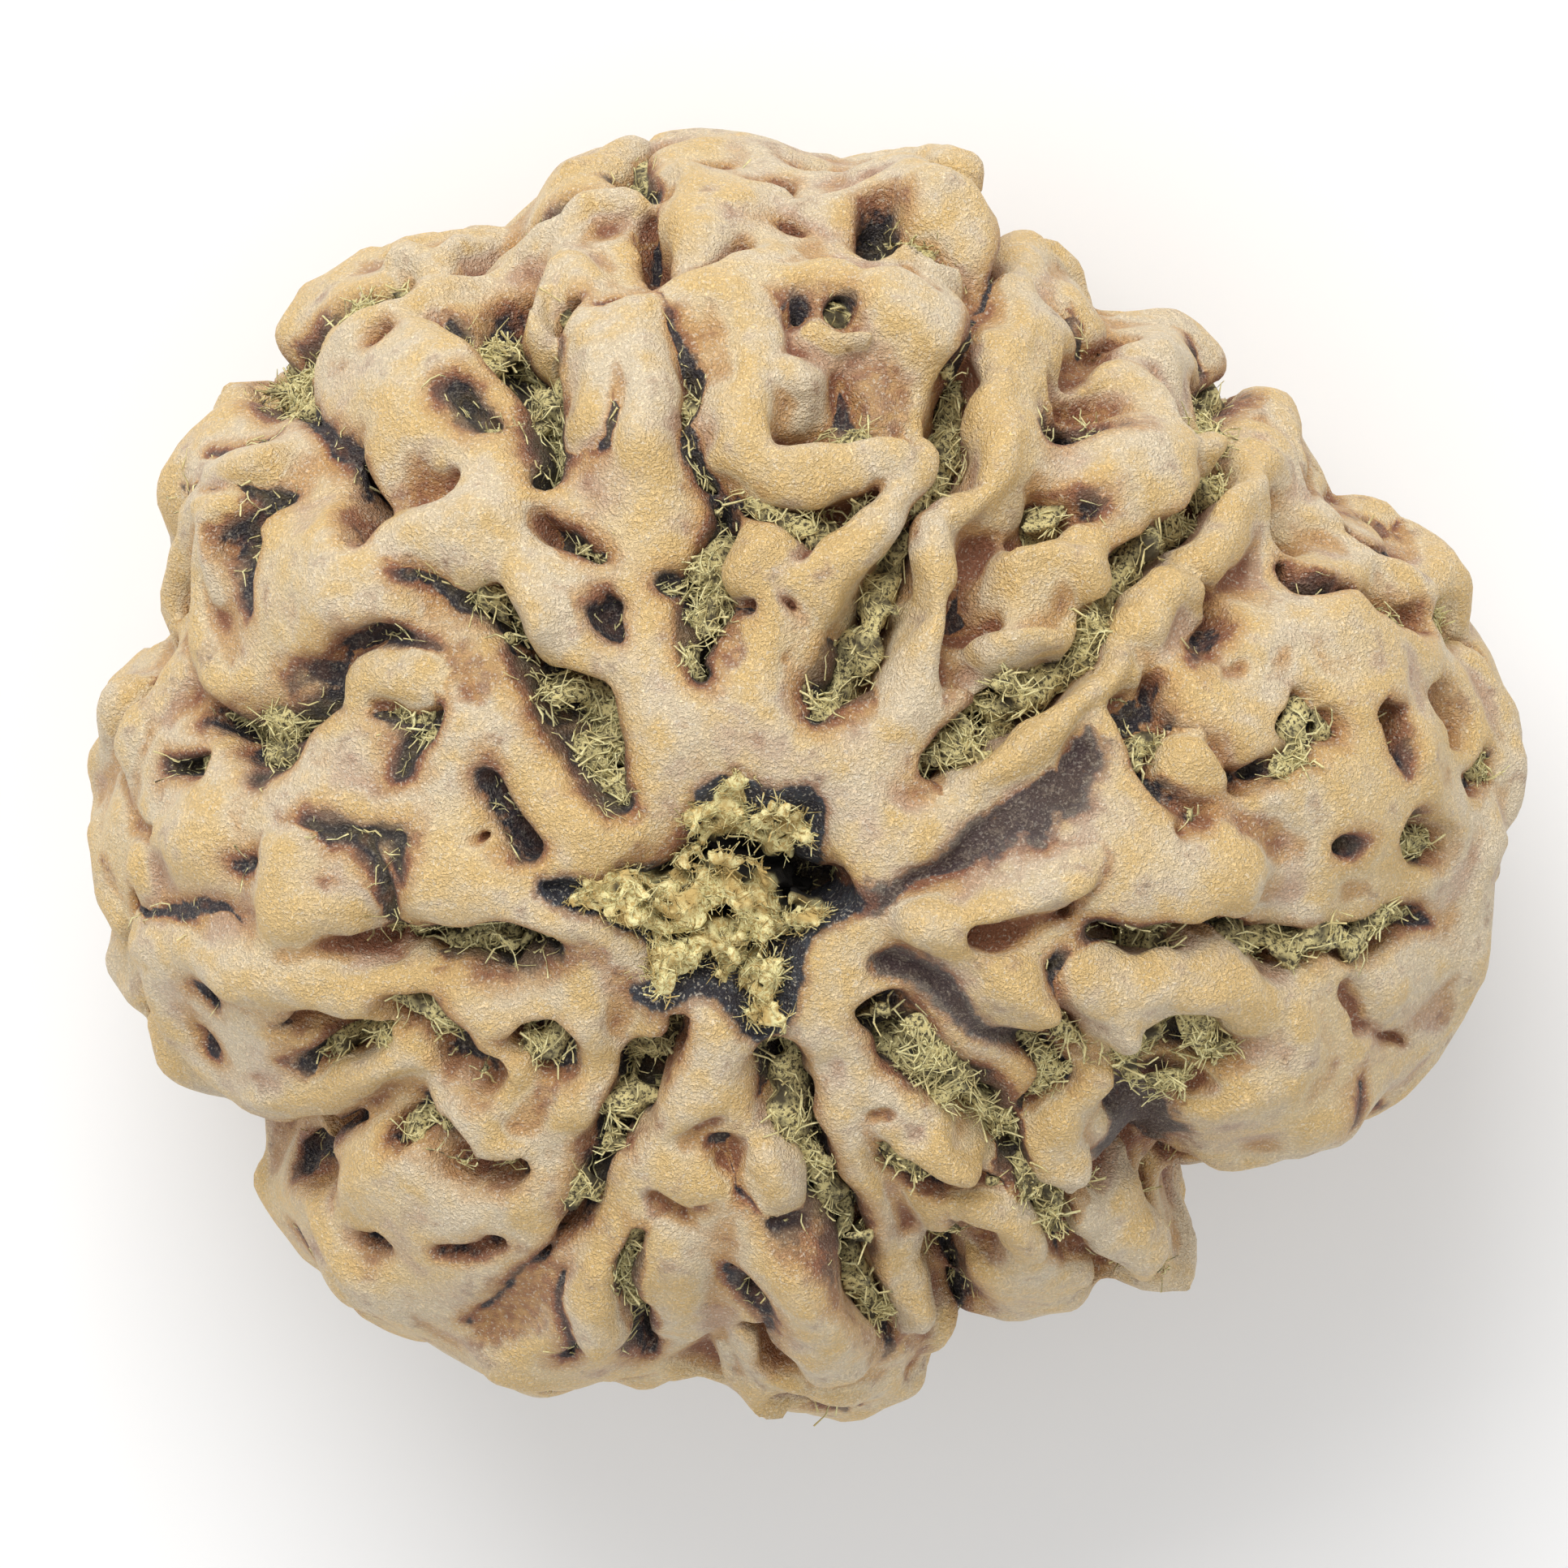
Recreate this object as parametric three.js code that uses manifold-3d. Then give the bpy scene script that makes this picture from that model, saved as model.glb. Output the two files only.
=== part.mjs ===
// A rudraksha seed: one woody stone, ribbed and pitted, split by ten clefts that run from the star
// at its stalk end to its far pole. The star faces up and the seed lies on a small worn flat.
// The relief is a list of strokes over a flattened round body: a cut is a cleft, groove or pit,
// and a raise is a ridge, finger or knob. Later strokes go over earlier ones.

import * as THREE from 'three';
import { mergeVertices } from 'three/addons/utils/BufferGeometryUtils.js';
import Module from 'manifold-3d';

// Driving dimensions, in millimetres
const TOP_HALF_HEIGHT = 9.9;
const BOTTOM_HALF_HEIGHT = 9.9;
const FLAT_DEPTH = 9.7;
const ROUNDNESS = 2.25;
const SEED_CENTRE = [-0.64, -0.081, FLAT_DEPTH];

// Reach of the body from its centre, in millimetres, at angles in degrees anticlockwise from +X
const REACHES = [
  [0, 13.9], [8, 13.9], [15, 13.3], [22, 12.8], [30, 11.6], [36, 12.0], [41, 11.6], [47, 11.8],
  [53, 11.0], [60, 11.3], [68, 11.4], [73, 12.1], [80, 12.0], [87, 11.7], [96, 12.1], [103, 12.1],
  [108, 12.1], [116, 11.5], [124, 12.3], [130, 12.5], [138, 12.1], [146, 12.5], [151, 12.6],
  [160, 11.8], [166, 11.7], [172, 12.5], [184, 12.7], [195, 12.6], [203, 12.6], [208, 12.3],
  [213, 11.3], [220, 12.1], [227, 12.5], [236, 12.4], [243, 12.3], [250, 12.2], [257, 11.4],
  [264, 10.5], [270, 11.8], [276, 11.9], [284, 11.6], [291, 10.0], [297, 11.1], [302, 11.5],
  [308, 11.9], [317, 11.0], [325, 12.3], [333, 13.3], [342, 13.5], [350, 13.7],
];

const { degToRad, smoothstep } = THREE.MathUtils;

// The relief on the star's side is drawn in a plane through the seed's centre, seen by an eye that
// stands back from it and leans from the seed's axis toward +Y
const EYE_LEAN = degToRad(12);
const EYE_DISTANCE = 250;

// How strokes shape the skin: a cut's wall runs from its floor's edge out past its half-width, and
// a raise is round on top with steep flanks
const CUT_FLOOR_SHARE = 0.2;
const CUT_MOUTH_SHARE = 1.3;
const WALL_INSIDE = 0.32;
const WALL_OUTSIDE = 0.14;
const SHALLOW_SHARE = 0.6;
const NARROWEST_CUT = 0.26;
const DEEPEST_CUT_SHARE = 5.5;
const FLATTEST_CROWN = 0.35;
const FLANK_SLOPE = 4;
const FLANK_REACH = 0.8;
const RAISE_BLEND = 0.15;

// Skin mesh: how dense it starts, how far its density leans toward the star's side, how many
// triangles it is thinned to, and how little the underside counts while it is thinned
const BASE_DETAIL = 78;
const DENSITY_LEAN = 0.3;
const TRIANGLE_LIMIT = 11900;
const UNDERSIDE_LEVEL = -3;
const UNDERSIDE_WEIGHT = 0.3;
const EVENNESS = 0.0004;
const OUTWARD_FACING = 0.6;
const FOLD_LIMIT = 0.2;
const LEAST_FIX = 1e-4;

// Strokes are [u, v] or [u, v, half-width] points in the drawing plane, in millimetres. The depth
// of a cut and the height of a raise are measured from the body, so a raise below it is a fill
const cut = (halfWidth, depth, ...points) => ({ raised: false, halfWidth, relief: depth, points });
const raise = (halfWidth, height, ...points) => ({ raised: true, halfWidth, relief: height, points });

// The body falls away gently toward the star and toward each cleft
const SHOULDERS = [
  cut(3.6, 0.6, [-0.3, -2.2]),
  cut(1.1, 0.35, [-1.1, 2.2], [-1.1, 5.5], [-1.5, 8], [-2.3, 11]),
  cut(1.2, 0.4, [1.3, 1.4], [2.3, 3.8], [3.7, 6.2], [4.3, 10]),
  cut(1.2, 0.4, [3.4, 0.4], [5.4, 1.9], [7.2, 4.1], [8.7, 6.8]),
  cut(1.1, 0.35, [6.5, -3], [9.2, -3.2], [12.4, -2.9]),
  cut(1.2, 0.4, [2.6, -5], [4.3, -6.8], [6, -9]),
  cut(1.1, 0.4, [0.5, -5.6], [0.9, -7.2], [1.8, -10.2]),
  cut(1.2, 0.4, [-2, -5], [-2.9, -7.1], [-4.5, -9.3]),
  cut(1.2, 0.4, [-4.2, -3.2], [-7.5, -3.2], [-11.8, -2.1]),
  cut(1.2, 0.4, [-2.8, 0], [-4.8, 2.2], [-7.6, 5.2], [-9.1, 7.5]),
];

// Broad swellings of the lobes between the clefts
const SWELLINGS = [
  raise(1.4, 0.3, [-8.2, 3.8]),
  raise(1.3, 0.35, [-6.9, 7.5]),
  raise(0.9, 0.3, [2.6, 11.2], [3.8, 10.6]),
  raise(1.1, 0.25, [3, 9]),
  raise(1, 0.3, [7.5, 6]),
  raise(0.7, 0.3, [7.6, 8.2]),
  raise(0.8, 0.25, [7.2, -1.8], [8.2, -1.9], [9, -1.8]),
  raise(1.1, 0.2, [10.8, 2.4], [12.4, 1.9]),
  raise(0.8, 0.25, [6.9, -8], [7.2, -8.8]),
  raise(0.65, 0.35, [0.6, -8.7], [0.9, -9.6], [1.1, -10.5], [1, -11.1]),
  raise(0.8, 0.25, [-10.7, -1.2]),
  raise(0.9, 0.2, [-3.2, -0.9]),
  raise(0.6, 0.25, [-6.5, -2.1], [-5.5, -2.1], [-4.5, -2.3], [-3.8, -2.5]),
];

// The clefts, each from the star's side out to the rim, but for the last, which is half closed
const CLEFTS = [
  cut(0.3, 2, [-0.9, 2, 0.25], [-1.05, 2.5, 0.35], [-1, 3.2, 0.48], [-1, 4, 0.4], [-0.9, 4.8, 0.35],
    [-1.1, 5.5, 0.25], [-1.3, 6.5, 0.2], [-1.45, 7.1, 0.35], [-1.35, 7.6, 0.35], [-1.5, 8.3, 0.18],
    [-1.65, 9, 0.12], [-1.85, 9.7, 0.25], [-1.9, 10.3, 0.25], [-2.4, 11.1, 0.16]),
  cut(0.3, 2, [1.1, 1.2, 0.2], [1.2, 1.6, 0.35], [1.7, 2.2, 0.55], [1.9, 2.8, 0.6], [2.2, 3.4, 0.5],
    [2.4, 4, 0.5], [2.6, 4.5, 0.4], [3.3, 5.3, 0.3], [3.7, 6.1, 0.22], [3.85, 6.8, 0.26],
    [4.1, 8, 0.25], [4.3, 9, 0.22], [4.4, 10.2, 0.2]),
  cut(0.3, 2, [3.3, 0.3, 0.4], [3.8, 0.6, 0.5], [4.8, 1.4, 0.5], [5.8, 2.1, 0.4], [6.25, 2.5, 0.35],
    [6.7, 3.4, 0.3], [7.1, 3.9, 0.35], [7.5, 4.4, 0.32], [8.3, 5.2, 0.2], [8.75, 6.1, 0.14],
    [8.7, 6.8, 0.2], [8.75, 7.4, 0.3]),
  cut(0.3, 2, [6.4, -3, 0.38], [7.3, -3.05, 0.4], [8.6, -3.15, 0.28], [9.5, -3.3, 0.4],
    [10.1, -3.45, 0.45], [10.9, -3.2, 0.22], [11.4, -3.15, 0.35], [12, -2.95, 0.4],
    [12.6, -2.85, 0.15]),
  cut(0.4, 2, [2.5, -4.9, 0.42], [3, -5.4, 0.5], [4.2, -6.6, 0.5], [4.7, -7.2, 0.48],
    [5.3, -7.9, 0.35], [5.9, -8.7, 0.4], [6.2, -9.2, 0.15]),
  cut(0.4, 2, [0.45, -5.6, 0.45], [0.7, -6.4, 0.5], [0.85, -7, 0.5], [1.15, -7.6, 0.38],
    [1.45, -8.5, 0.45], [1.8, -9.5, 0.33], [2, -10.4, 0.2], [2.05, -10.8, 0.12]),
  cut(0.4, 2, [-1.85, -4.6, 0.15], [-2, -5.3, 0.28], [-2.4, -6.3, 0.43], [-2.9, -7.1, 0.45],
    [-3.7, -8.1, 0.35], [-4.2, -8.9, 0.22], [-5, -9.7, 0.14], [-5.6, -10.2, 0.12]),
  cut(0.4, 2, [-4, -3.25, 0.35], [-4.6, -3.2, 0.5], [-5.3, -3.35, 0.5], [-6.2, -3.35, 0.42],
    [-7.3, -3.25, 0.5], [-8, -3.2, 0.3], [-9, -3.1, 0.12], [-9.8, -2.7, 0.18], [-10.4, -2.35, 0.22],
    [-12, -2.1, 0.2]),
  cut(0.4, 2, [-2.6, -0.4, 0.35], [-3.1, 0.45, 0.5], [-3.7, 1.2, 0.46], [-4.6, 2, 0.4],
    [-5.1, 2.5, 0.22], [-5.3, 3, 0.25]),
  cut(0.3, 2, [-7.3, 4.75, 0.32], [-7.7, 5.3, 0.3], [-8, 6, 0.25], [-8.5, 6.8, 0.25],
    [-9.1, 7.5, 0.28]),
  cut(0.2, 0.5, [2, -2.2], [2.6, -2.1], [3.5, -1.3], [4.2, -0.9], [5, -0.4]),
  cut(0.3, 1.2, [9.7, 3.9, 0.2], [10.3, 3.6, 0.28], [11.4, 3.15, 0.33], [12, 3, 0.35],
    [12.5, 3, 0.2]),
];

// The star at the stalk end, its arms running out between the lobes, with torn pith inside
const STAR = [
  cut(0.9, 1.8, [-1.2, -2.2], [0.2, -2.3], [0, -3]),
  cut(0.4, 1.5, [-3.8, -1.95, 0.28], [-3, -2.1, 0.42], [-2.1, -2.1, 0.65]),
  cut(0.5, 1.6, [-0.5, -0.3, 0.4], [-0.6, -1.1, 0.6]),
  cut(0.45, 1.4, [0.65, -0.7], [0.55, -1.2]),
  cut(0.4, 1.5, [1.7, -2.25, 0.22], [1, -2.1, 0.6]),
  cut(0.5, 1.4, [0.5, -3.4], [0.1, -4.2]),
  cut(0.5, 1.3, [-1.4, -3.3], [-2.1, -3.7]),
  cut(0.9, 0.9, [-1.8, -4], [-0.7, -4.3], [0.1, -4.6]),
  raise(0.5, -1.05, [-1.2, -2.3], [0.1, -2.35]),
  raise(0.28, -0.85, [-0.1, -2.6], [-0.1, -3.4]),
  cut(0.45, 3, [0.75, -1.95, 0.42], [1.2, -2.15, 0.35]),
  cut(0.25, 2.4, [-0.5, -1.25]),
  cut(0.25, 2.3, [-1.65, -1.65], [-1.4, -1.95]),
  cut(0.25, 2.2, [-1.5, -2.9], [-0.75, -2.9]),
];

// Lobe above the star, between the clefts at 102 and 67 degrees
const UPPER_LOBE = [
  cut(0.33, 1.2, [0.5, 6.5], [1.2, 6.7], [1.8, 6.6]),
  cut(0.3, 1.3, [-0.9, 5.8, 0.2], [-0.4, 5.5, 0.25], [0.2, 5.3, 0.3], [0.8, 5.2, 0.4],
    [1.4, 5.25, 0.33], [2.3, 5.45, 0.16]),
  cut(0.22, 1, [0.8, 4.8], [0.8, 4.35]),
  cut(0.7, 0.5, [1.4, 8.1], [2.5, 7.4]),
  cut(0.38, 1.2, [1.95, 10.6], [2.2, 10.3]),
  cut(0.27, 1.2, [1.25, 8.85]),
  cut(0.3, 1.2, [0.15, 8.65], [0.1, 8.15]),
  cut(0.25, 1, [1.4, 7.7], [1.7, 7.3]),
  cut(0.25, 0.7, [2.3, 6.9], [3, 7]),
  cut(0.25, 0.7, [-0.75, 9.85], [-0.15, 10.05]),
  cut(0.16, 0.8, [-0.3, 11.15], [0.4, 11.1]),
  cut(0.25, 0.8, [-0.5, 3.4], [-0.1, 3.3]),
  cut(0.3, 0.4, [-0.3, 2.4]),
  cut(0.17, 0.4, [0.75, 3.3]),
  raise(0.58, 0.35, [0, 4.2]),
  raise(0.4, 0.25, [1.25, 3.7], [1.4, 4.3], [2, 4.8], [2.6, 5.4], [3.05, 6], [3.1, 6.5]),
  raise(0.4, 0.25, [0.3, 6], [1, 6.1], [1.8, 6.2], [2.7, 6.3]),
  raise(0.5, 0.3, [-1.1, 9.3], [-0.5, 8.9], [-0.35, 7.9], [-0.35, 6.9], [-0.25, 6.3]),
  raise(0.4, 0.2, [0.2, 7.7], [0.8, 7.6]),
  raise(0.35, 0.25, [-1.5, 11.3], [-1.4, 10.7], [-1, 10.4]),
  raise(0.25, 0.2, [2.6, 10.1], [3.7, 9.8]),
];

// Lobe at the upper right, between the clefts at 67 and 41 degrees
const UPPER_RIGHT_LOBE = [
  cut(0.5, 0.5, [5.8, 7.1], [6.3, 7]),
  cut(0.3, 1.2, [5.4, 6.9, 0.2], [5.5, 6.45], [6.1, 6.5], [6.6, 6.6]),
  cut(0.3, 0.6, [5.8, 8], [6.5, 8.1]),
  cut(0.3, 1.2, [5.4, 5.4], [5.9, 5.35], [6.4, 5.25]),
  cut(0.3, 0.8, [5.3, 4.9]),
  cut(0.22, 0.9, [4.25, 4.9], [4.3, 4.2], [4.2, 3.4]),
  cut(0.35, 0.7, [3.45, 2.9], [3.55, 2.3]),
  cut(0.22, 1, [4.2, 2.1], [4.9, 2.3]),
  cut(0.35, 0.4, [3.6, 1.8]),
  raise(0.45, 0.25, [3.3, 4.6], [3.4, 3.9], [3.2, 3], [2.9, 2.2], [2.75, 1.5]),
  raise(0.48, 0.25, [4.8, 10.1], [4.9, 9], [4.8, 8], [4.8, 7.2], [4.5, 6.2], [4.3, 5.4], [3.8, 5]),
  raise(0.3, 0.25, [5.3, 9.8], [5.9, 9.4]),
  raise(0.52, 0.3, [5.1, 4.2], [5.8, 4.2], [6.3, 4]),
  raise(0.42, 0.3, [4.6, 2.65], [5.2, 2.8], [5.6, 2.75]),
  raise(0.35, 0.2, [8.2, 6.3], [8.4, 6.4]),
];

// Lobe at the right, between the cleft at 41 degrees and the half-closed one
const RIGHT_UPPER_LOBE = [
  cut(0.2, 0.8, [8.2, 3.5], [8.3, 3.1], [8.15, 2.5]),
  cut(0.22, 0.9, [7.6, 1.9], [7.75, 1.5], [8.1, 1], [8.8, 0.65]),
  cut(0.2, 0.5, [8.4, 2.5], [8.8, 2.25], [9, 2.3]),
  cut(0.2, 0.4, [10.2, 5.3]),
  cut(0.15, 0.4, [10.8, 4.6], [11.3, 4.35], [11.8, 4.2]),
  raise(0.45, 0.3, [9.4, 6], [8.8, 5.1], [8.3, 4.3]),
  raise(0.45, 0.25, [9.4, 7.2], [9.7, 6.5], [9.9, 5.6], [10, 4.8]),
  raise(0.37, 0.3, [7.2, 2.7], [7.55, 3.2], [7.8, 3.6]),
  raise(0.55, 0.25, [11.3, 5], [12.2, 4.2], [13, 3.3]),
];

// Lobe at the right, from the half-closed cleft to the one at 347 degrees
const RIGHT_LOWER_LOBE = [
  cut(0.5, 0.3, [5.5, 0.3], [5.7, -0.4]),
  cut(0.25, 0.8, [6.9, 1.5], [7.4, 1.45], [7.8, 0.9], [7.5, 0.3], [7.7, -0.1], [8.3, -0.5]),
  cut(0.32, 1, [7.35, 1]),
  cut(0.25, 1, [10.2, 1.6, 0.16], [10, 1.2], [10.4, 1.05], [10.7, 1.2]),
  cut(0.25, 1.2, [11.5, 1.4, 0.14], [11.85, 1.05], [12, 0.6], [12, 0.3, 0.14]),
  cut(0.22, 0.9, [13, 1.6], [13.3, 1.2]),
  cut(0.17, 0.7, [13.6, 0.4], [13.45, 0]),
  cut(0.38, 1, [12.35, -1.05], [12.85, -1.15]),
  cut(0.28, 1.2, [11.1, -1.2]),
  cut(0.25, 1.2, [9.2, 0.05], [9.7, 0.25], [10.1, 0.45]),
  cut(0.3, 0.25, [8.7, -0.5], [9.5, -1], [9.9, -1.4]),
  raise(0.35, 0.3, [8.3, 0.5]),
  raise(0.35, 0.2, [3.9, -0.2], [4.8, 0.3], [5.7, 1.1], [6.8, 2.1]),
  raise(0.58, 0.35, [3, -3], [3.9, -3.2], [4.7, -3.8], [5.1, -4.3]),
  raise(0.5, 0.3, [3.1, -2.75], [4, -2.3], [5, -1.9], [5.7, -1.75]),
  cut(0.18, 0.5, [6.3, -1.1], [6.15, -1.8], [5.8, -2.5]),
  cut(0.18, 0.25, [3.6, -2.9], [4.6, -2.7], [5.8, -2.55]),
  raise(0.45, 0.3, [13.3, -1.9], [13.6, -0.9]),
];

// Lobe at the lower right, between the clefts at 347 and 304 degrees
const LOWER_RIGHT_LOBE = [
  cut(0.2, 0.6, [2.9, -3.95], [3.6, -4.35], [4.3, -4.85], [4.9, -5.1]),
  cut(0.35, 0.9, [5.1, -5.3], [5.5, -5.7], [5.1, -6.2]),
  cut(0.3, 0.9, [5.65, -3.6], [5.8, -4.2], [5.8, -4.8]),
  cut(0.3, 0.5, [5.9, -5.1], [6.8, -5.3]),
  cut(0.38, 1.2, [7.5, -4.8], [8, -4.65], [8.5, -4.8], [8.9, -5.15, 0.25]),
  cut(0.25, 0.9, [7.2, -5.7], [7.8, -5.7], [8.4, -6]),
  cut(0.6, 0.9, [6.9, -6.4], [7.2, -6.8], [7, -7.2]),
  cut(0.15, 0.8, [10.75, -5.7], [10.65, -6.3]),
  cut(0.15, 0.35, [11.05, -4.1], [11, -5], [11.9, -4.9]),
  raise(0.45, 0.35, [5.7, -6.4], [5.7, -7.25]),
  raise(0.35, 0.25, [6.5, -4.3], [6.7, -4.8]),
  raise(0.5, 0.25, [6.3, -3.9], [7.2, -3.95], [8.2, -3.9], [9.2, -4], [9.75, -4.5], [9.8, -5.3],
    [9.5, -5.9], [9, -6.1]),
  raise(0.5, 0.2, [11.7, -4.2]),
];

// Lobe at the bottom right, between the clefts at 304 and 281 degrees
const BOTTOM_RIGHT_LOBE = [
  cut(0.2, 0.9, [2.6, -7, 0.22], [2.8, -7.4, 0.35], [3.2, -7.75, 0.25], [4, -7.75], [5, -8, 0.16]),
  cut(0.17, 0.8, [3.5, -8.4], [3.35, -9], [3.2, -9.7]),
  cut(0.4, 0.8, [3.8, -8.8], [4.4, -9.15]),
  cut(0.25, 0.4, [2.2, -10.35], [2.8, -10.8]),
  raise(0.35, 0.25, [3, -6.9], [3.5, -7.2], [3.9, -7.4]),
  raise(0.45, 0.3, [2.7, -8.5], [2.7, -9.3], [2.6, -10]),
  raise(0.35, 0.25, [4, -8.25], [4.6, -8.45], [5.1, -8.75]),
  raise(0.45, 0.25, [5.7, -9.4]),
  raise(0.45, 0.25, [2.6, -11.1]),
];

// Lobe at the bottom, between the clefts at 281 and 241 degrees
const BOTTOM_LOBE = [
  cut(0.35, 1.1, [-2.45, -8.8, 0.2], [-2.55, -9.3], [-2.55, -9.9], [-2.5, -10.35],
    [-2.25, -10.7, 0.15]),
  cut(0.3, 0.4, [-1.95, -8.2], [-1.3, -8.35]),
  cut(0.17, 0.4, [-1, -6.7], [-0.75, -6.45]),
  cut(0.18, 0.5, [-0.65, -6.95], [-0.35, -7.1], [-0.2, -7.4]),
  cut(0.15, 0.5, [-0.6, -7.3], [-0.4, -7.9], [0, -8.15], [0.8, -8.35]),
  cut(0.25, 0.5, [0.3, -8.5], [0.8, -8.5]),
  cut(0.45, 0.9, [-0.7, -9.1, 0.3], [-0.4, -9.6, 0.48], [-0.2, -9.9, 0.4]),
  cut(0.18, 0.8, [0, -10.2], [0, -10.6], [0.1, -11.2]),
  cut(0.22, 0.7, [-0.3, -10.4]),
  cut(0.5, 0.5, [-4.5, -9.7], [-5.2, -10.4]),
  cut(0.2, 0.6, [-4, -9.8], [-3.9, -10.8]),
  raise(0.45, 0.25, [-1.3, -7.6]),
  raise(0.45, 0.25, [0.15, -7.3], [0.4, -7.85]),
  raise(0.35, 0.25, [-1.7, -8.8], [-1.6, -9.5], [-1.6, -10.3]),
  raise(0.35, 0.2, [-3.4, -9.6], [-3.25, -10.6]),
  raise(0.25, 0.2, [-1, -10.1], [-0.75, -10.8], [-0.3, -11.4], [0.4, -11.7]),
];

// Lobe at the lower left, between the clefts at 241 and 190 degrees
const LOWER_LEFT_LOBE = [
  raise(0.55, 0.25, [-11.6, -2.95], [-10.2, -3.15], [-9.2, -3.55], [-8.2, -3.95], [-7.2, -4.1]),
  cut(0.25, 0.8, [-6.1, -5.5], [-5.5, -5.7]),
  cut(0.4, 1, [-5, -5, 0.15], [-4.7, -4.9, 0.2], [-4.2, -5.1], [-4.2, -5.5, 0.42]),
  cut(0.3, 0.4, [-4.5, -6], [-4.6, -6.6]),
  cut(0.45, 1.1, [-7, -4.5], [-6.6, -4.6], [-6.2, -5.1]),
  cut(0.27, 1, [-10.35, -4.05]),
  cut(0.27, 1, [-10.25, -5.05]),
  cut(0.17, 0.9, [-9.3, -4.4], [-8.6, -4.45]),
  cut(0.35, 1.2, [-8.85, -5.2], [-8.1, -4.85]),
  cut(0.17, 0.8, [-8.3, -6.2], [-7.6, -6.1]),
  cut(0.3, 0.8, [-8.8, -6.95], [-8.1, -7.1]),
  cut(0.4, 0.4, [-8.5, -7.6]),
  cut(0.28, 1, [-7.1, -6.8], [-6.8, -6.7], [-6.4, -7.1], [-6.1, -7], [-6, -7.6], [-5.2, -7.6]),
  cut(0.25, 1, [-7.5, -8.8], [-7.25, -8.8]),
  cut(0.17, 0.7, [-6.1, -8.87], [-5.4, -8.82]),
  cut(0.15, 0.4, [-11.9, -2.7], [-11.8, -3.6], [-11.4, -4.5]),
  raise(0.4, 0.2, [-9.6, -5.8], [-8.4, -5.65], [-7.5, -5.4]),
];

// Lobe at the left, between the clefts at 190 and 140 degrees
const LEFT_LOBE = [
  cut(0.17, 1, [-10.4, 6.35], [-9.55, 6.7]),
  cut(0.3, 1.3, [-10.3, 5.45], [-9.9, 5.5], [-9.3, 5.3]),
  cut(0.3, 1.2, [-9.6, 4.9], [-10, 4.5], [-9.7, 4.2], [-9.75, 3.6, 0.22], [-9.65, 3.1, 0.14]),
  cut(0.3, 0.7, [-9.2, 1.9, 0.16], [-8.1, 1.95, 0.2], [-7.8, 2.4], [-7.2, 2.7], [-6.6, 2.5],
    [-6.4, 2.1, 0.2]),
  cut(0.3, 0.9, [-7.2, 1.2], [-6.5, 1.3], [-6.9, 0.7, 0.25], [-6.8, 0.2, 0.2]),
  cut(0.33, 1.2, [-10.25, 1.3], [-9.1, 1.3], [-8.1, 1.5]),
  cut(0.38, 1, [-9.6, 0.8], [-9.2, 0.5], [-9.6, 0.1]),
  cut(0.27, 0.9, [-11.3, 0.2], [-10.8, 0.2]),
  cut(0.15, 0.4, [-12.2, 0], [-11.9, -0.6], [-11.6, -0.95]),
  cut(0.22, 0.7, [-9.8, -1.4], [-9.5, -1.3]),
  cut(0.17, 0.4, [-9.6, -1.1], [-9.3, -0.85], [-8.8, -0.7]),
  cut(0.25, 0.9, [-8.5, -0.7, 0.2], [-7.9, -0.8], [-7.5, -1.1], [-7.45, -1.9], [-7.6, -2.6]),
  cut(0.22, 0.8, [-7.2, -1], [-6.7, -1], [-7, -1.5]),
  cut(0.35, 1, [-5.3, 0.1], [-5.1, -0.4], [-4.4, -1.2]),
  cut(0.2, 0.5, [-5.4, -1.1]),
  raise(0.3, 0.2, [-10.9, 5.05], [-10.15, 5.1]),
  raise(0.3, 0.2, [-10.8, 5.95], [-9.5, 5.9]),
  raise(0.35, 0.15, [-7.6, 1.7], [-6.8, 2]),
  raise(0.5, 0.3, [-8.95, -1.3], [-9, -2], [-8.9, -2.45]),
  raise(0.38, 0.25, [-8.9, -2.5], [-8.35, -2.5]),
  raise(0.45, 0.2, [-11.8, -1.4]),
];

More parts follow.
